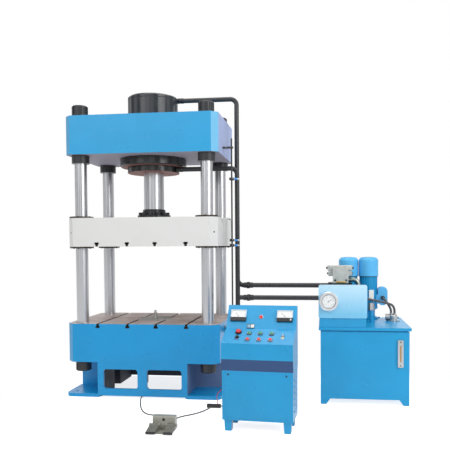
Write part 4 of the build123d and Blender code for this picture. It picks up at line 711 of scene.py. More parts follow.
@dataclass
class Shape:
    """One mesh in the making, from bmesh operators, in millimetres of the frame that it is based on."""

    name: str
    base: Matrix = field(default_factory=lambda: PRESS)
    mesh: bmesh.types.BMesh = field(default_factory=bmesh.new)
    finishes: list[Finish] = field(default_factory=list)

    def take(self, part: bmesh.types.BMesh, finish: Finish, where: Matrix) -> None:
        """Move a finished part to its place and add it to the mesh.

        Args:
            part: The part, which is used up.
            finish: The finish of its faces.
            where: Its place in the frame.
        """
        if finish not in self.finishes:
            self.finishes.append(finish)
        bmesh.ops.recalc_face_normals(part, faces=part.faces[:])
        for face in part.faces:
            face.material_index = self.finishes.index(finish)
            face.smooth = True
        part.transform(self.base @ where)
        data = bpy.data.meshes.new("part")
        part.to_mesh(data)
        part.free()
        self.mesh.from_mesh(data)
        bpy.data.meshes.remove(data)

    @staticmethod
    def round_edges(part: bmesh.types.BMesh, edges: Iterable[bmesh.types.BMEdge], size: float) -> None:
        """Round some edges of a part with two faces each.

        Args:
            part: The part.
            edges: The edges.
            size: How far the rounding reaches.
        """
        bmesh.ops.bevel(
            part, geom=list(edges), offset=size, offset_type="OFFSET", segments=2, profile=0.5,
            affect="EDGES", material=-1,
        )

    def block(self, centre: Point, size: Point, finish: Finish, edge: float = 0.0, turn: float = 0.0) -> None:
        """Add a block with rounded edges.

        Args:
            centre: Its middle.
            size: Its three sizes.
            finish: Its finish.
            edge: The edges' rounding.
            turn: Its turn about its upright axis, in radians.
        """
        part = bmesh.new()
        bmesh.ops.create_cube(part, size=1.0)
        bmesh.ops.scale(part, vec=Vector(size), verts=part.verts[:])
        if edge:
            self.round_edges(part, part.edges[:], edge)
        self.take(part, finish, Matrix.Translation(centre) @ Matrix.Rotation(turn, 4, "Z"))

    def rod(
        self, foot: Point, length: float, radius: float, finish: Finish, toward: Toward = Toward.UP,
        edge: float = 0.0, sides: int = 32, spin: float = 0.0,
    ) -> None:
        """Add a round or many-sided rod.

        Args:
            foot: The middle of its first end.
            length: Its length.
            radius: Its radius.
            finish: Its finish.
            toward: Where it points.
            edge: The rounding of its two rims.
            sides: How many sides it has, 6 for a hexagon.
            spin: Its turn about its own line, in radians.
        """
        part = bmesh.new()
        bmesh.ops.create_cone(
            part, cap_ends=True, segments=sides, radius1=radius, radius2=radius, depth=length,
            matrix=Matrix.Translation((0.0, 0.0, length / 2)) @ Matrix.Rotation(spin, 4, "Z"),
        )
        if edge:
            rims = [one for one in part.edges if any(len(face.verts) == sides for face in one.link_faces)]
            self.round_edges(part, rims, edge)
        self.take(part, finish, Matrix.Translation(foot) @ toward.turn())

    def turned(
        self, foot: Point, outline: Sequence[tuple[float, float]], finish: Finish, toward: Toward = Toward.UP,
        steps: int = 48, closed: bool = False,
    ) -> None:
        """Add a turned part from its outline.

        Args:
            foot: Where the outline's height is 0, on the axis.
            outline: Radius and height of each corner, in order.
            finish: Its finish.
            toward: Where its axis points.
            steps: How many faces go round.
            closed: Whether the outline's end meets its start, as for a ring.
        """
        part = bmesh.new()
        corners = [part.verts.new((radius, 0.0, height)) for radius, height in outline]
        pairs = list(zip(corners, corners[1:])) + ([(corners[-1], corners[0])] if closed else [])
        lines = [part.edges.new(pair) for pair in pairs]
        bmesh.ops.spin(
            part, geom=corners + lines, cent=(0, 0, 0), axis=(0, 0, 1), angle=2 * pi, steps=steps,
            use_merge=True,
        )
        bmesh.ops.remove_doubles(part, verts=part.verts[:], dist=0.001)
        self.take(part, finish, Matrix.Translation(foot) @ toward.turn())

    def plate_with_hole(
        self, centre: Point, size: tuple[float, float], hole: float, thickness: float, finish: Finish,
    ) -> None:
        """Add a rectangular plate with a round hole in its middle.

        Args:
            centre: The middle of its lower face.
            size: Its width and height.
            hole: The hole's radius.
            thickness: Its thickness.
            finish: Its finish.
        """
        part = bmesh.new()
        inner = bmesh.ops.create_circle(part, segments=32, radius=hole)["verts"]
        rim = {one for vert in inner for one in vert.link_edges}
        signs = ((1, 1), (-1, 1), (-1, -1), (1, -1))
        corners = [part.verts.new((x * size[0] / 2, y * size[1] / 2, 0)) for x, y in signs]
        border = [part.edges.new((corners[n], corners[(n + 1) % 4])) for n in range(4)]
        bmesh.ops.subdivide_edges(part, edges=border, cuts=7)
        bmesh.ops.bridge_loops(part, edges=list(rim) + [one for one in part.edges if one not in rim])
        grown = bmesh.ops.extrude_face_region(part, geom=part.faces[:])["geom"]
        moved = [one for one in grown if isinstance(one, bmesh.types.BMVert)]
        bmesh.ops.translate(part, verts=moved, vec=(0, 0, thickness))
        self.take(part, finish, Matrix.Translation(centre))

    def cap_screw(
        self, foot: Point, radius: float, height: float, toward: Toward = Toward.UP,
        finish: Finish = BLACK_OXIDE,
    ) -> None:
        """Add a socket head screw.

        Args:
            foot: Where its head stands.
            radius: The head's radius.
            height: The head's height.
            toward: Where the head points.
            finish: Its finish.
        """
        key = radius * 0.52
        outline = [(0, height * 0.45), (key, height * 0.45), (key, height), (radius * 0.9, height),
                   (radius, height * 0.9), (radius, 0)]
        self.turned(foot, outline, finish, toward, steps=24)

    def hex_bolt(self, foot: Point, across: float, height: float, finish: Finish) -> None:
        """Add an upright hexagon head on its washer.

        Args:
            foot: Where the washer lies.
            across: The head's size across its corners.
            height: The head's height with its washer.
            finish: Its finish.
        """
        washer = height * 0.22
        self.rod(foot, washer, across * 0.62, finish, edge=0.3)
        head = Vector(foot) + Vector((0.0, 0.0, washer))
        self.rod(head, height - washer, across / 2, finish, edge=height * 0.08, sides=6, spin=0.3)

    def tick(self, hub: Point, radius: float, angle: float, size: Point) -> None:
        """Print a tick of a dial's scale.

        Args:
            hub: The middle of the scale's arc.
            radius: The arc's radius.
            angle: The tick's angle in radians.
            size: Its three sizes, the first outwards.
        """
        spot = Vector(hub) + radius * Vector((cos(angle), sin(angle), 0.0))
        self.block(spot, size, FAINT_INK, turn=angle)

    def text(self, words: str, centre: Point, height: float, finish: Finish) -> None:
        """Add plain numbers, a hair proud of their dial.

        Args:
            words: The digits.
            centre: Their middle.
            height: Their height.
            finish: Their finish.
        """
        curve = bpy.data.curves.new("digits", "FONT")
        curve.body = words
        curve.size = height
        curve.extrude = height * 0.02
        curve.align_x = "CENTER"
        curve.align_y = "CENTER"
        holder = add_object("digits", curve)
        bpy.context.view_layer.update()
        data = bpy.data.meshes.new_from_object(holder)
        part = bmesh.new()
        part.from_mesh(data)
        bmesh.ops.remove_doubles(part, verts=part.verts[:], dist=0.0001)
        bpy.data.objects.remove(holder)
        bpy.data.curves.remove(curve)
        bpy.data.meshes.remove(data)
        self.take(part, finish, Matrix.Translation(centre))

    def stand(self, body: str, slot: str, *instead_of: str) -> None:
        """Turn the mesh into a piece of the scene.

        Args:
            body: The CAD body that it rides on.
            slot: The record's material slot. It is not used.
            instead_of: The CAD nodes that it stands for.
        """
        data = bpy.data.meshes.new(self.name)
        self.mesh.to_mesh(data)
        self.mesh.free()
        for finish in self.finishes:
            data.materials.append(finish.material())
        data.set_sharp_from_angle(angle=radians(32))
        set_piece(self.name, data, body, instead_of)


@dataclass
class PressFrame:
    """The base, the bed, the crown and the four columns with their nuts and collars."""

    column_places: tuple = tuple((x, y) for y in (-COLUMN_Y, COLUMN_Y) for x in (-COLUMN_X, COLUMN_X))
    column_radius: float = 52.0
    column_foot: float = 225.0
    column_top: float = 2510.0
    bed_top: float = 636.0
    slot_depth: float = 37.0
    crown_foot: float = 2093.0
    screw_spot: tuple = (1.6, 63.5)
    screw_drops: tuple = (18.0, 52.0)

    def build(self) -> None:
        """Dress the frame and add what the solids leave out."""
        # Painted shade: the inside of the base and of its wings is near black, and the recess under the bed's
        # right end is a dull grey blue.
        wings = (Bound(0, -645.5), Bound(0, 645.5, False), Bound(1, -75.5), Bound(1, 75.5, False))
        recess = (Bound(0, 385), Bound(1, -420), Bound(2, 31))
        middle = (Bound(0, -372), Bound(0, 372, False), Bound(1, -396.5), Bound(1, 396.5, False))
        dress(Zoned("enamelled_base_with_painted_shade_inside", PRESS_BLUE, (
            (SHADE_BLUE, wings), (UNDER_BED_SHADE, recess), (SHADE_BLUE, middle),
        )), "base_frame")
        slots = (Bound(2, self.bed_top - self.slot_depth), Bound(1, -420.5), Bound(1, 420.5, False),
                 Bound(0, -450), Bound(0, 450, False))
        table = (Bound(2, self.bed_top - 0.5),)
        milled = ((SLOT_STEEL, slots), (TABLE_STEEL, table))
        dress(Zoned("enamelled_bed_with_milled_table", PRESS_BLUE, milled), "bed")
        # Painted light: the crown's right chamfer is a paler cyan and its right side a pale lilac blue, for
        # light and reflection from the right.
        corner = SheenPaintedOnSide("crown_enamel_painted_highlight_on_the_chamfer", "6FBCE6", CROWN_LIT_BLUE, 0.5)
        right = SheenPaintedOnSide("crown_enamel_painted_reflection_at_right", "A4B4E0", corner, 0.9)
        dress(PrimerAndShadeBelow("crown_enamel_grey_underneath", "A19DAC", right, -0.9), "crown")
        dress(PLATE_STEEL, "centre_plate")
        dress(BLACK_OXIDE, "column_nuts", "column_collars")
        dress(BLACK_ENAMEL, "ejector_cylinder")
        dress(PIN_STEEL, "ejector_pin")
        self.columns()
        self.collar_screws()

    def columns(self) -> None:
        """Turn the four ground bars, finer than the solids' facets."""
        shape = Shape("chromed_columns")
        radius, height = self.column_radius, self.column_top - self.column_foot
        outline = [(0, 0), (radius - 3, 0), (radius, 3), (radius, height - 3), (radius - 3, height),
                   (0, height)]
        for x, y in self.column_places:
            shape.turned((x, y, self.column_foot), outline, CHROME, steps=128)
        shape.stand("press", "chromed_steel", "columns")

    def collar_screws(self) -> None:
        """Put clamping screws across the collars' joints."""
        shape = Shape("collar_clamp_screws")
        for x, y in self.column_places:
            for drop in self.screw_drops:
                spot = (x + self.screw_spot[0], y + self.screw_spot[1], self.crown_foot - drop)
                shape.cap_screw(spot, 6, 9, Toward.RIGHT)
        shape.stand("press", "black_paint")


@dataclass
class MainCylinder:
    """The barrel on the crown, the ring and gland under it, and the ram with its flange."""

    barrel_top: float = 2648.0
    crown_top: float = 2425.0
    ring_foot: float = 2018.0
    bore: float = 165.0
    spigot: float = 200.0
    barrel_radius: float = 225.5
    plug_circle: float = 196.0
    flange_circle: float = 128.0
    flange_height: float = 36.0

    def build(self) -> None:
        """Build the turned parts and dress the gland."""
        dress(PRIMED_BLACK, "cylinder_gland")
        self.barrel()
        self.ring()
        self.ram()
        self.flange()

    def barrel(self) -> None:
        """Turn the barrel, with a stepped rim and flush plugs on its top."""
        shape = Shape("cylinder_body")
        foot, top = self.ring_foot - self.crown_top, self.barrel_top - self.crown_top
        radius = self.barrel_radius
        outline = [(self.bore, foot), (self.spigot, foot), (self.spigot, 0), (222, 0), (radius, 4),
                   (radius, top - 34), (radius - 2, top - 31), (radius, top - 28), (radius, top - 10),
                   (radius - 10, top), (0, top), (0, top - 48), (self.bore, top - 48)]
        shape.turned((0, 0, self.crown_top), outline, BARREL_BLACK, steps=160, closed=True)
        for x, y, _ in around(16, self.plug_circle, 0.1):
            shape.cap_screw((x, y, self.barrel_top - 2), 11, 2.4)
        shape.stand("press", "black_paint", "cylinder_barrel")

    def ring(self) -> None:
        """Turn the clamp ring, with a bevel at its foot."""
        shape = Shape("clamp_ring")
        outline = [(200.2, 0), (290.5, 0), (298.5, 8), (298.5, 75), (200.2, 75)]
        shape.turned((0, 0, self.ring_foot), outline, PRIMED_BLACK, steps=160, closed=True)
        shape.stand("press", "black_paint", "cylinder_ring")

    def ram(self) -> None:
        """Turn the chromed ram with its piston."""
        shape = Shape("chromed_ram")
        outline = [(0, 0), (87, 0), (90, 3), (90, 816), (164.95, 816), (164.95, 896), (0, 896)]
        shape.turned((0, 0, SLIDE_TOP), outline, CHROME, steps=128)
        shape.stand("ram_and_slide", "chromed_steel", "ram")

    def flange(self) -> None:
        """Turn the ram flange with its cap screws."""
        shape = Shape("bolted_ram_flange")
        outline = [(90.2, 0), (147, 0), (150, 3), (150, 33), (147, self.flange_height),
                   (105, self.flange_height), (103, 40), (103, 83), (99, 87), (90.2, 87)]
        shape.turned((0, 0, SLIDE_TOP), outline, BLACK_ENAMEL, steps=96, closed=True)
        for x, y, _ in around(12, self.flange_circle):
            shape.cap_screw((x, y, SLIDE_TOP + self.flange_height), 16, 24)
        shape.stand("ram_and_slide", "black_paint", "ram_flange")


@dataclass
class SlidePlate:
    """The moving plate with its guide bushes."""

    foot: float = 1301.0
    half_width: float = 657.5
    half_depth: float = 415.0
    corner_middle: float = 27.0
    lifting_hole_height: float = 1420.0
    bush_plate: float = 14.0
    screw_reach: float = 74.0

    def build(self) -> None:
        """Dress the plate and screw the bush plates down."""
        slots = (Bound(2, self.foot + 37, False), Bound(1, -414.5), Bound(1, 414.5, False),
                 Bound(0, -450), Bound(0, 450, False))
        dress(Zoned("enamelled_slide_with_milled_slots", SLIDE_WHITE, ((SLOT_STEEL, slots),)), "slide")
        dress(DARK_CASTING, "guide_bushes")
        screws, hole_shades = Shape("bush_plate_screws"), Shape("painted_shade_of_lifting_holes")
        for side in (-1, 1):
            for end in (-1, 1):
                for dx, dy in ((-1, 0), (1, 0), (0, -1), (0, 1)):
                    x, y = side * COLUMN_X + dx * self.screw_reach, end * COLUMN_Y + dy * self.screw_reach
                    screws.cap_screw((x, y, SLIDE_TOP + self.bush_plate), 7, 4)
                    screws.cap_screw((x, y, self.foot - self.bush_plate), 7, 4, Toward.DOWN)
                # Painted shade: a thin dark square on each corner chamfer stands for the shaded inside of a
                # lifting hole.
                x = side * (self.half_width - self.corner_middle)
                y = end * (self.half_depth - self.corner_middle)
                turn = Vector((side, end)).angle_signed(Vector((1, 0)))
                hole_shades.block((x, y, self.lifting_hole_height), (1.2, 13, 13), BLACK_PLASTIC, 0.5, turn)
        screws.stand("ram_and_slide", "black_paint")
        hole_shades.stand("ram_and_slide", "black_paint")


@dataclass
class Pipework:
    """The two hydraulic pipes with their unions, and the limit rail beside them."""

    elbow_unions: tuple = ((225.65, 30.0, 2625.0), (230.56, -60.0, 1992.0))
    drain_union: tuple = (670.0, -60.0, 548.0)
    line_unions: tuple = ((822.0, 30.0, 943.0), (836.0, -60.0, 838.0))
    manifold_nut: float = 1584.0
    rail: tuple = (746.0, -150.0)
    brackets: tuple = (2161.0, 590.0)
    sensors: tuple = (1887.0, 1351.0, 1306.0)

    def build(self) -> None:
        """Dress the pipes and the rail, and build the unions and the sensors."""
        dress(PIPE_BLACK, "upper_pipe", "lower_pipe")
        low = (Bound(2, 640, False), Bound(0, 738, False))
        dress(Zoned("dark_rail_on_a_zinc_foot", BLACK_OXIDE, ((ZINC_STEEL, low),)), "limit_rail")
        self.unions()
        self.sensor_blocks()

    def unions(self) -> None:
        """Make each union a hexagon between turned collars."""
        shape = Shape("pipe_unions")
        lip = [(21.2, 0), (25, 0), (25, 6), (21.2, 6)]
        for x, y, z in (*self.elbow_unions, self.drain_union):
            shape.turned((x, y, z), lip, BLACK_OXIDE, Toward.RIGHT, closed=True)
            shape.rod((x + 6, y, z), 28, 25, BLACK_OXIDE, Toward.RIGHT, edge=1.5, sides=6)
        for x, y, z in self.elbow_unions:
            shape.rod((x + 34, y, z), 22, 24, BLACK_OXIDE, Toward.RIGHT, edge=2)
        for x, y, z in self.line_unions:
            for collar in (x, x + 56):
                shape.rod((collar, y, z), 30, 25, BLACK_OXIDE, Toward.RIGHT, edge=2)
            for nut in (x + 30, self.manifold_nut):
                shape.rod((nut, y, z), 26, 33, BLACK_OXIDE, Toward.RIGHT, edge=2.5, sides=6)
        shape.stand("press", "black_paint", "pipe_fittings")

    def sensor_blocks(self) -> None:
        """Build the sensors with their nuts and clamps, and the rail's screws."""
        x, y = self.rail
        shape = Shape("proximity_sensors")
        for z in self.sensors:
            shape.plate_with_hole((x, y, z - 11), (38, 38), 7.2, 22, BLACK_PLASTIC)
            shape.rod((x + 19, y, z), 30, 9, BLUE_PLASTIC, Toward.RIGHT, edge=1)
            shape.rod((x + 19, y, z), 5, 12, ZINC_STEEL, Toward.RIGHT, edge=0.8, sides=6)
            shape.rod((x + 49, y, z), 16, 6, WHITE_PLASTIC, Toward.RIGHT, edge=1.5)
            shape.cap_screw((x + 8, y - 19, z + 4), 4, 4, Toward.FRONT, ZINC_STEEL)
        shape.stand("press", "black_plastic", "limit_switches")
        screws = Shape("rail_bracket_screws")
        for z in self.brackets:
            screws.cap_screw((700, y - 20, z), 4, 4, Toward.FRONT, ZINC_STEEL)
        screws.stand("press", "machined_steel")


@dataclass
class PowerUnit:
    """The tank with its lid, gauges, valve, manifold, pump line and two motors."""

    lid_top: float = 633.0
    back_bolts: tuple = (1530.0, 1700.0, 1875.0, 2050.0, 2220.0)
    back_bolt_row: float = 225.0
    side_bolts: tuple = (-250.0, -110.0, 30.0)
    side_bolt_row: float = 1522.0
    gauge: tuple = (1586.6, -482.6, 847.5)
    sight: tuple = (2159.5, -447.6, 362.0)
    valve_front: float = -140.0
    motors: tuple = (1770.0, 1948.0)
    motor_y: float = 150.0
    cowl_foot: float = 1018.0
    cowl_top: float = 1193.0

    def build(self) -> None:
        """Dress the unit and add its small parts."""
        dress(TANK_BLUE, "tank", "tank_lid", "motors")
        dress(COWL_BLUE, "fan_cowls")
        dress(ZINC_STEEL, "level_gauge", "conduit_fitting")
        dress(BLACK_ENAMEL, "manifold")
        dress(BLACK_PLASTIC, "filler_cap")
        dress(GAUGE_RIM, "pressure_gauge")
        dress(GREY_PLASTIC, "gauge_needle")
        below = (Bound(2, 709, False),)
        # Painted sheen: the panel is paler than its stand, which keeps the tank's blue.
        dress(Zoned("sheen_painted_panel_on_a_blue_stand", PANEL_SHEEN_BLUE, ((TANK_BLUE, below),)), "gauge_panel")
        left, right = (Bound(0, 1579.2, False),), (Bound(0, 1791.8),)
        knobs = ((BLACK_PLASTIC, left), (BLACK_PLASTIC, right))
        dress(Zoned("grey_casting_with_black_knobs", GREY_CASTING, knobs), "directional_valve")
        gland = (Bound(1, 103.5, False),)
        dress(Zoned("blue_box_with_black_gland", COWL_BLUE, ((BLACK_PLASTIC, gland),)), "terminal_boxes")
        pump_line = Bound(0, 1925)
        dress(Zoned("green_grey_return_line", ZINC_STEEL, (
            (TANK_BLUE, (pump_line, Bound(2, 738, False))),
            (WHITE_PLASTIC, (pump_line, Bound(2, 834))),
            (TANK_BLUE, (pump_line, Bound(2, 802), Bound(2, 834, False))),
            (RETURN_STEEL, (Bound(0, 1895, False),)),
        )), "unit_pipes")
        self.dial()
        self.sight_tube()
        self.lid_bolts()
        self.valve_screws()
        self.cowl_grilles()

    def dial(self) -> None:
        """Print the gauge's dial with ticks and numbers, under its glass."""
        front = PRESS @ Matrix.Translation(self.gauge) @ Matrix.Rotation(pi / 2, 4, "X")
        shape = Shape("gauge_dial", front)
        card = [(3.2, 0), (57.8, 0), (57.8, 0.8), (3.2, 0.8)]
        shape.turned((0, 0, 0), card, DIAL_WHITE, steps=72, closed=True)
        for number in range(51):
            angle = radians(225 - 270 * number / 50)
            radius, size = (49, (7, 1.0, 0.3)) if number % 5 == 0 else (50.5, (4, 0.5, 0.3))
            shape.tick((0, 0, 0.9), radius, angle, size)
            if number % 10 == 0:
                shape.text(str(number // 2), (37 * cos(angle), 37 * sin(angle), 0.9), 10, GREY_PLASTIC)
        # Painted shade: a dark band round the dial's edge, on the inside wall of the rim.
        edge = [(54.2, 0), (57.8, 0), (57.8, 3), (54.2, 3)]
        shape.turned((0, 0, 0.8), edge, RIM_SHADE_INK, steps=72, closed=True)
        shape.stand("press", "chromed_steel")
        glass = Shape("gauge_glass", front)
        glass.turned((0, 0, 0), [(0, 6.2), (57.9, 6.2), (57.9, 7.6), (0, 7.6)], COVER_GLASS, steps=72)
        glass.stand("press", "chromed_steel")

    def sight_tube(self) -> None:
        """Put the oil tube and its screws in the level gauge's frame."""
        shape = Shape("sight_tube")
        x, front, foot = self.sight
        shape.rod((x, front - 8.5, foot), 126, 4.5, AMBER, edge=1)
        for proud, heights in ((16, (329, 521)), (8.5, (345, 505))):
            for z in heights:
                shape.cap_screw((x, front - proud, z), 5, 3.5, Toward.FRONT)
        shape.stand("press", "machined_steel")

    def lid_bolts(self) -> None:
        """Bolt the lid down along its back and its left."""
        shape = Shape("lid_bolts")
        back = [(x, self.back_bolt_row) for x in self.back_bolts]
        for x, y in back + [(self.side_bolt_row, y) for y in self.side_bolts]:
            shape.hex_bolt((x, y, self.lid_top), 17, 9, TANK_BLUE)
        shape.stand("press", "machined_steel")

    def valve_screws(self) -> None:
        """Add the screws at the valve's foot and its brass strip."""
        shape = Shape("valve_details")
        for x in (1645, 1738):
            shape.cap_screw((x, self.valve_front, 999), 8, 7, Toward.FRONT)
        shape.block((1691.5, self.valve_front - 1, 983), (84, 2, 13), BRASS, 0.4)
        for x in (1625, 1775):
            for z in (720, 930):
                shape.cap_screw((x, self.valve_front + 10, z), 7, 8, Toward.FRONT)
        shape.stand("press", "grey_casting")

    def cowl_grilles(self) -> None:
        """Lay rings of dark slots on each fan cowl's top, and seal its seam."""
        shape = Shape("fan_grilles")
        seam = [(80.2, 0), (86.5, 0), (86.5, 4), (80.2, 4)]
        for middle in self.motors:
            shape.turned((middle, self.motor_y, self.cowl_foot), seam, BLACK_PLASTIC, steps=64, closed=True)
            # Painted shade: each slot is a thin dark sheet on the cowl, standing for the shaded opening of
            # the grille.
            for radius in (14, 24, 34):
                for x, y, angle in around(8, radius, radius):
                    spot = (middle + x, self.motor_y + y, self.cowl_top + 0.2)
                    shape.block(spot, (6, radius * 0.6, 0.6), BLACK_PLASTIC, turn=angle)
        shape.stand("press", "blue_paint")


@dataclass
class ControlConsole:
    """The console: its housing, meters, lamp, counter, buttons and switches."""

    button_shifts: tuple = (-72.0, 9.0, 90.0)
    start_row: float = 118.0
    stop_row: float = 46.0
    emergency: tuple = (-152.0, 130.0)
    selector: tuple = (-152.0, 74.0)
    key_switch: tuple = (172.0, 84.0)
    meters: tuple = (-170.0, 170.0)
    meter_window: tuple = (103.6, 49.6)
    window_height: float = 112.0
    meter_hub: float = 94.0
    lamp: tuple = (-4.0, 93.0)
    counter: tuple = (-73.0, 19.0)
    cover_screw_x: float = 206.0

    def build(self) -> None:
        """Dress the housing and build what is on it."""
        # Painted reflection: the cabinet's right side is a pale grey blue.
        coat = SheenPaintedOnSide("powder_coat_painted_reflection_at_right", "7FA6C8", CONSOLE_BLUE, 0.9)
        # Painted shade: the cabinet's downward faces, under its apron, are a dark blue.
        dress(PrimerAndShadeBelow("powder_coat_painted_shade_underneath", "2C4C7C", coat, -0.1), "console_cabinet")
        cover = (Bound(2, 786),)
        dress(Zoned("black_meter_with_pale_cover", BLACK_PLASTIC, ((CLEAR_RIM, cover),)), "panel_meters")
        dress(GREY_PLASTIC, "meter_needle_left", "meter_needle_right")
        dress(GREEN_PLASTIC, *(f"start_button_{number}" for number in (1, 2, 3)))
        dress(RED_PLASTIC, *(f"stop_button_{number}" for number in (1, 2, 3)), "emergency_stop")
        dress(BLACK_PLASTIC, "selector_switch")
        dress(ZINC_STEEL, "key_switch")
        self.meter_dials()
        self.desk_plates()
        self.signal_lamp()
        self.hour_counter()
        self.cover_screws()

    def meter_dials(self) -> None:
        """Print the meters' dials with an arc of ticks, and glaze them."""
        shape, glass = Shape("meter_dials", PANEL), Shape("meter_glass", PANEL)
        for x in self.meters:
            shape.block((x, self.window_height, 10.3), (*self.meter_window, 0.6), DIAL_WHITE)
            for number in range(11):
                size = (5, 0.6, 0.2) if number % 5 == 0 else (3, 0.4, 0.2)
                shape.tick((x, self.meter_hub, 10.7), 39, radians(130 - 8 * number), size)
            glass.block((x, self.window_height, 15.2), (*self.meter_window, 1.0), COVER_GLASS)
            shape.cap_screw((x, 69, 16), 4, 1.5)
        shape.block((self.meters[1] + 44, 70, 16.4), (9, 12, 1.6), WHITE_PLASTIC, 0.4)
        shape.stand("press", "black_plastic")
        glass.stand("press", "black_plastic")

    def desk_plates(self) -> None:
        """Put the plates and rings round the buttons and switches."""
        shape = Shape("button_plates", DESK)
        ring = [(11.4, 0), (14, 0), (14, 4.6), (13.2, 6), (11.4, 6)]
        for x in self.button_shifts:
            for y, plate in ((self.start_row, BLACK_PLASTIC), (self.stop_row, SLATE_PLASTIC)):
                shape.plate_with_hole((x, y, 0), (34, 34), 11.4, 2, plate)
                shape.turned((x, y, 2), ring, TRIM_CHROME, closed=True)
        collar = [(10.4, 0), (24, 0), (24, 3.2), (23, 4), (10.4, 4)]
        shape.turned((*self.emergency, 0), collar, BLACK_PLASTIC, steps=64, closed=True)
        collar = [(10.4, 0), (15, 0), (15, 3), (14, 4), (10.4, 4)]
        shape.turned((*self.selector, 0), collar, BLACK_PLASTIC, closed=True)
        shape.block((self.selector[0], self.selector[1] - 22, 1), (30, 14, 2), LABEL_BLUE, 0.5)
        x, y = self.key_switch
        shape.plate_with_hole((x, y + 10.5, 0), (20, 21), 7.2, 2, BLACK_PLASTIC)
        shape.block((x, y - 10.5, 1), (20, 21, 2), CREAM_PLASTIC, 0.5)
        shape.stand("press", "black_plastic", "panel_fittings")

    def signal_lamp(self) -> None:
        """Build the red lamp in its chromed collar."""
        shape = Shape("signal_lamp", PANEL)
        collar = [(8, -30), (8, 0), (15, 0), (15, 3), (13, 4), (8, -26)]
        shape.turned((*self.lamp, 0), collar, TRIM_CHROME)
        shape.turned((*self.lamp, 3), [(13, 0), (13, 2), (11.5, 4.4), (7, 5.7), (0, 6)], LENS_RED)
        shape.stand("press", "red_plastic")

    def hour_counter(self) -> None:
        """Build the counter with its blue and its white window."""
        shape = Shape("hour_counter", PANEL)
        x, y = self.counter
        shape.block((x, y, 2), (54, 33, 4), BLACK_PLASTIC, 0.8)
        shape.block((x - 13, y, 4.6), (22, 25, 1.2), COUNTER_BLUE, 0.3)
        shape.block((x + 13, y, 4.6), (24, 25, 1.2), WHITE_PLASTIC, 0.3)
        shape.stand("press", "black_plastic")

    def cover_screws(self) -> None:
        """Fix the cabinet's cover with a screw in each corner."""
        shape = Shape("cover_screws", CONSOLE)
        for x in (-self.cover_screw_x, self.cover_screw_x):
            shape.cap_screw((x, -2, 402), 6.5, 2.6, Toward.FRONT)
            shape.cap_screw((x, -2, 107), 4.5, 2.6, Toward.FRONT, CONSOLE_BLUE)
        shape.stand("press", "machined_steel")


@dataclass
class FootSwitch:
    """The twin foot switch, with the boxes that its wires end in."""

    lip_front: float = -1371.0

    def build(self) -> None:
        """Dress the switch, its pedals and the boxes."""
        dress(PALE_CASTING, "footswitch_body")
        lip = (Bound(1, self.lip_front, False),)
        pedal = Zoned("grey_pedal_with_black_lip", PEDAL_CASTING, ((BLACK_PLASTIC, lip),))
        dress(pedal, "pedal_left", "pedal_right")
        dress(BLACK_PLASTIC, "junction_box", "cable_connector")


class Stiffness(Enum):
    """How stiff a cable is."""

    MEDIUM = "medium"
    STIFF = "stiff"


@dataclass
class Cable:
    """One cable: a smooth line through the points of its route, in metres."""

    name: str
    diameter: float
    length: float
    route: Sequence[Point]
    far_end: str = "object"
    stiffness: Stiffness = Stiffness.MEDIUM
    finish: Finish = CABLE_RUBBER
    on_it: Sequence[str] = ()

    def lay(self) -> None:
        """Lay the cable as a NURBS line with a round section."""
        curve = bpy.data.curves.new(self.name + "_line", "CURVE")
        curve.dimensions = "3D"
        curve.bevel_depth = self.diameter / 2
        curve.bevel_resolution = 4
        curve.resolution_u = 12
        curve.use_fill_caps = True
        line = curve.splines.new("NURBS")
        line.points.add(len(self.route) - 1)
        for point, place in zip(line.points, self.route):
            point.co = (*place, 1.0)
        line.order_u = 3
        line.use_endpoint_u = True
        curve.materials.append(self.finish.material())
        piece = set_piece(self.name + "_line", curve, "press", [self.name])


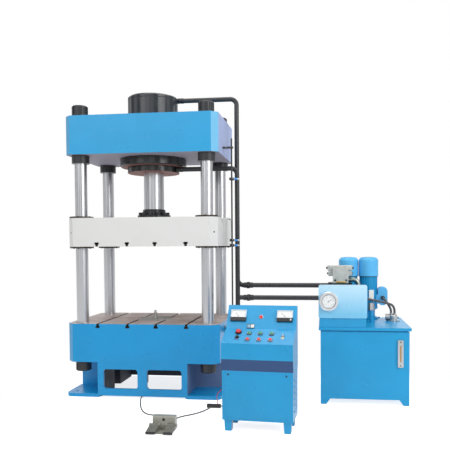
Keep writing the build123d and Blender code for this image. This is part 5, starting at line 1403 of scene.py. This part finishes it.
@dataclass
class Wiring:
    """All the loose cables of the press."""

    cables: Sequence[Cable] = field(default_factory=lambda: [
        Cable("pedal_cable_left", 0.010, 1.106, [
            (-0.785, 0.1275, 0.1), (-0.785, 0.1275, 0.056), (-0.787, 0.1095, 0.01), (-0.791, 0.0595, 0.0051),
            (-0.776, -0.0025, 0.0051), (-0.75, -0.0845, 0.0051), (-0.722, -0.1725, 0.0051),
            (-0.688, -0.2625, 0.0051), (-0.644, -0.3525, 0.0051), (-0.592, -0.4165, 0.0051),
            (-0.53, -0.4385, 0.0051), (-0.468, -0.4185, 0.0051), (-0.414, -0.4425, 0.0051),
            (-0.382, -0.4885, 0.0051), (-0.376, -0.5425, 0.0051), (-0.378, -0.5925, 0.01),
            (-0.379, -0.6445, 0.028), (-0.379, -0.6945, 0.028),
        ]),
        Cable("pedal_cable_right", 0.010, 0.570, [
            (-0.341, -0.6945, 0.028), (-0.341, -0.6445, 0.028), (-0.342, -0.5885, 0.01),
            (-0.342, -0.5305, 0.0051), (-0.33, -0.4765, 0.0051), (-0.294, -0.4325, 0.0051),
            (-0.248, -0.3945, 0.0051), (-0.208, -0.3465, 0.0051), (-0.176, -0.2925, 0.0051),
            (-0.133, -0.2505, 0.017), (-0.133, -0.2005, 0.017),
        ], far_end="connector", on_it=["cable_connector"]),
        Cable("console_lead", 0.010, 0.558, [
            (-0.055, -0.1755, 0.017), (-0.018, -0.1755, 0.017), (0.04, -0.2065, 0.0051),
            (0.112, -0.2565, 0.0051), (0.178, -0.2925, 0.0051), (0.236, -0.3325, 0.007),
            (0.27, -0.3765, 0.034), (0.276, -0.4125, 0.084), (0.2693, -0.4587, 0.11),
            (0.2654, -0.5085, 0.11),
        ]),
        Cable("sensor_wire", 0.006, 0.779, [
            (-0.089, -0.1585, 0.017), (-0.087, -0.1265, 0.024), (-0.1, -0.0945, 0.044),
            (-0.112, -0.0545, 0.074), (-0.094, -0.0065, 0.096), (-0.07, 0.0535, 0.11),
            (-0.052, 0.1135, 0.164), (-0.04, 0.1795, 0.236), (-0.032, 0.2455, 0.316), (-0.03, 0.2995, 0.402),
            (-0.034, 0.3295, 0.484), (-0.034, 0.3295, 0.548),
        ], finish=RED_WIRE),
        Cable("motor_cable_left", 0.020, 0.491, [
            (1.01, 0.3745, 0.85), (1.048, 0.3745, 0.85), (1.092, 0.3615, 0.845), (1.137, 0.3455, 0.838),
            (1.182, 0.3405, 0.829), (1.226, 0.3505, 0.82), (1.264, 0.3735, 0.81), (1.298, 0.4025, 0.8),
            (1.33, 0.4335, 0.789), (1.358, 0.4645, 0.777), (1.375, 0.4805, 0.758), (1.385, 0.4895, 0.731),
            (1.385, 0.4895, 0.703),
        ], stiffness=Stiffness.STIFF),
        Cable("motor_cable_right", 0.020, 0.195, [
            (1.291, 0.5615, 0.828), (1.291, 0.5385, 0.828), (1.296, 0.5175, 0.823), (1.308, 0.4975, 0.81),
            (1.321, 0.4845, 0.792), (1.334, 0.4805, 0.77), (1.35, 0.4875, 0.741), (1.355, 0.4895, 0.718),
            (1.355, 0.4895, 0.703),
        ], stiffness=Stiffness.STIFF),
    ])

    def build(self) -> None:
        """Lay every cable."""
        for cable in self.cables:
            cable.lay()


@dataclass
class Lamp:
    """A square soft light, in metres and watts."""

    name: str
    place: Point
    aim: Point
    size: float
    watts: float

    def hang(self) -> None:
        """Hang the light and turn it to what it points at."""
        light = bpy.data.lights.new(self.name, "AREA")
        light.size = self.size
        light.energy = self.watts
        lamp = add_object(self.name, light)
        lamp.location = self.place
        lamp.rotation_euler = (Vector(self.aim) - Vector(self.place)).to_track_quat("-Z", "Y").to_euler()


@dataclass
class Studio:
    """The plain floor, the soft light and the camera."""

    lamps: Sequence[Lamp] = (
        Lamp("key_light", (-2.6, -4.6, 5.2), (0.0, 0.3, 1.0), 4.8, 122.0),
        Lamp("right_light", (4.6, -3.2, 3.6), (0.3, 0.3, 1.1), 3.8, 165.0),
        Lamp("top_light", (0.2, 0.6, 5.6), (0.0, 0.4, 1.0), 3.6, 84.0),
    )
    floor_half: float = 30.0
    floor_lift: float = 0.78
    shadow_half: tuple = (1.3, 0.75, 0.0)
    shadow_fade: tuple = (0.1, 0.7)
    room_light: float = 0.5
    wall_bands: float = 9.0
    wall_range: tuple = (0.15, 1.25)
    eye: tuple = (0.7689953, -4.7622126, 1.3038787)
    yaw: float = -0.121672687
    pitch: float = 0.034969015
    roll: float = -0.005692529
    focal_px: float = 584.815534
    centre_px: tuple = (252.62107, 265.901529)
    frame_px: float = 450.0
    sensor_mm: float = 36.0
    sight: float = 100.0

    def build(self) -> None:
        """Set the studio up."""
        self.floor()
        self.world()
        for lamp in self.lamps:
            lamp.hang()
        self.camera()

    @staticmethod
    def rays(tree: Tree, *kinds: str) -> Socket:
        """Tell some kinds of ray from the others.

        Args:
            tree: The floor's or the world's node tree.
            kinds: The kinds, by the Light Path node's outputs.

        Returns:
            A mask that is 1 for a ray of any of them.
        """
        path = add_node(tree, "LightPath")
        mask = path.outputs[kinds[0]]
        for kind in kinds[1:]:
            mask = add_node(tree, "Math", {"operation": "MAXIMUM", 0: mask, 1: path.outputs[kind]}).outputs[0]
        return mask

    def floor(self) -> None:
        """Lay a plain floor that shows white to the camera and keeps the shadow."""
        part = bmesh.new()
        bmesh.ops.create_grid(part, x_segments=1, y_segments=1, size=self.floor_half)
        bmesh.ops.translate(part, verts=part.verts[:], vec=(0, 0, -0.5 * MM))
        data = bpy.data.meshes.new("studio_floor")
        part.to_mesh(data)
        part.free()
        made = bpy.data.materials.new("matt_white_floor")
        tree = empty_tree(made)
        seen = self.rays(tree, "Is Camera Ray", "Is Glossy Ray", "Is Transmission Ray")
        lift = add_node(tree, "Math", {"operation": "MULTIPLY", 0: seen, 1: self.floor_lift}).outputs[0]
        paint = add_node(tree, "BsdfDiffuse", {"Color": linear("ECECEC")}).outputs[0]
        glow = add_node(tree, "Emission", {"Color": WHITE, "Strength": lift}).outputs[0]
        near = add_node(tree, "AddShader", {0: paint, 1: glow}).outputs[0]
        away = add_node(tree, "VectorMath", {"operation": "ABSOLUTE", 0: place_in_object(tree)}).outputs[0]
        for operation, value in (("SUBTRACT", self.shadow_half), ("MAXIMUM", (0.0, 0.0, 0.0))):
            away = add_node(tree, "VectorMath", {"operation": operation, 0: away, 1: value}).outputs[0]
        away = add_node(tree, "VectorMath", {"operation": "LENGTH", 0: away}).outputs["Value"]
        full, gone = self.shadow_fade
        fade = add_node(tree, "MapRange", {"Value": away, "From Min": full, "From Max": gone}).outputs[0]
        fade = add_node(tree, "Math", {"operation": "MULTIPLY", 0: fade, 1: seen}).outputs[0]
        far = add_node(tree, "Emission", {"Color": WHITE, "Strength": 1.0}).outputs[0]
        both = add_node(tree, "MixShader", {0: fade, 1: near, 2: far}).outputs[0]
        add_node(tree, "OutputMaterial", {"Surface": both})
        data.materials.append(made)
        add_object("studio_floor", data)

    def world(self) -> None:
        """Light the room softly, white to the camera, with dark walls for the chrome to show."""
        world = bpy.data.worlds.new("soft_room")
        bpy.context.scene.world = world
        tree = empty_tree(world)
        way = add_node(tree, "SeparateXYZ", {0: add_node(tree, "TexCoord").outputs["Generated"]})
        x, y = way.outputs[0], way.outputs[1]
        side = add_node(tree, "Math", {"operation": "ARCTAN2", 0: x, 1: y}).outputs[0]
        side = add_node(tree, "Math", {"operation": "MULTIPLY", 0: side, 1: self.wall_bands}).outputs[0]
        wave = add_node(tree, "Math", {"operation": "SINE", 0: side}).outputs[0]
        dark, bright = self.wall_range
        walls = add_node(tree, "MapRange", {
            "Value": wave, "From Min": -0.7, "From Max": 0.8, "To Min": dark, "To Max": bright,
        }).outputs[0]
        room, mirror, backdrop = (
            add_node(tree, "Background", {"Color": WHITE, "Strength": strength}).outputs[0]
            for strength in (self.room_light, walls, 1.0)
        )
        glossy = self.rays(tree, "Is Glossy Ray")
        inside = add_node(tree, "MixShader", {0: glossy, 1: room, 2: mirror}).outputs[0]
        seen = self.rays(tree, "Is Camera Ray", "Is Transmission Ray")
        whole = add_node(tree, "MixShader", {0: seen, 1: inside, 2: backdrop}).outputs[0]
        add_node(tree, "OutputWorld", {"Surface": whole})

    def camera(self) -> None:
        """Stand the camera where the photographer stood."""
        ahead = Vector((sin(self.yaw) * cos(self.pitch), cos(self.yaw) * cos(self.pitch), -sin(self.pitch)))
        right = Vector((cos(self.yaw), -sin(self.yaw), 0.0))
        up = right.cross(ahead)
        tilted_right = cos(self.roll) * right + sin(self.roll) * up
        tilted_up = cos(self.roll) * up - sin(self.roll) * right
        turn = Matrix((tilted_right, tilted_up, -ahead)).transposed().to_4x4()
        lens = bpy.data.cameras.new("photo_camera")
        lens.sensor_fit = "HORIZONTAL"
        lens.sensor_width = self.sensor_mm
        lens.lens = self.focal_px * self.sensor_mm / self.frame_px
        lens.shift_x = (self.frame_px / 2 - self.centre_px[0]) / self.frame_px
        lens.shift_y = (self.centre_px[1] - self.frame_px / 2) / self.frame_px
        lens.clip_end = self.sight
        camera = add_object("photo_camera", lens)
        camera.matrix_world = Matrix.Translation(self.eye) @ turn
        bpy.context.scene.camera = camera


def main() -> None:
    """Build the press's looks in order."""
    logging.basicConfig(level=logging.INFO, format="%(message)s")
    bpy.context.scene.view_settings.view_transform = "Standard"
    for assembly in (
        Wiring(), PressFrame(), MainCylinder(), SlidePlate(), Pipework(), PowerUnit(), ControlConsole(),
        FootSwitch(), Studio(),
    ):
        LOG.info("building %s", type(assembly).__name__)
        assembly.build()


if __name__ == "__main__":
    main()
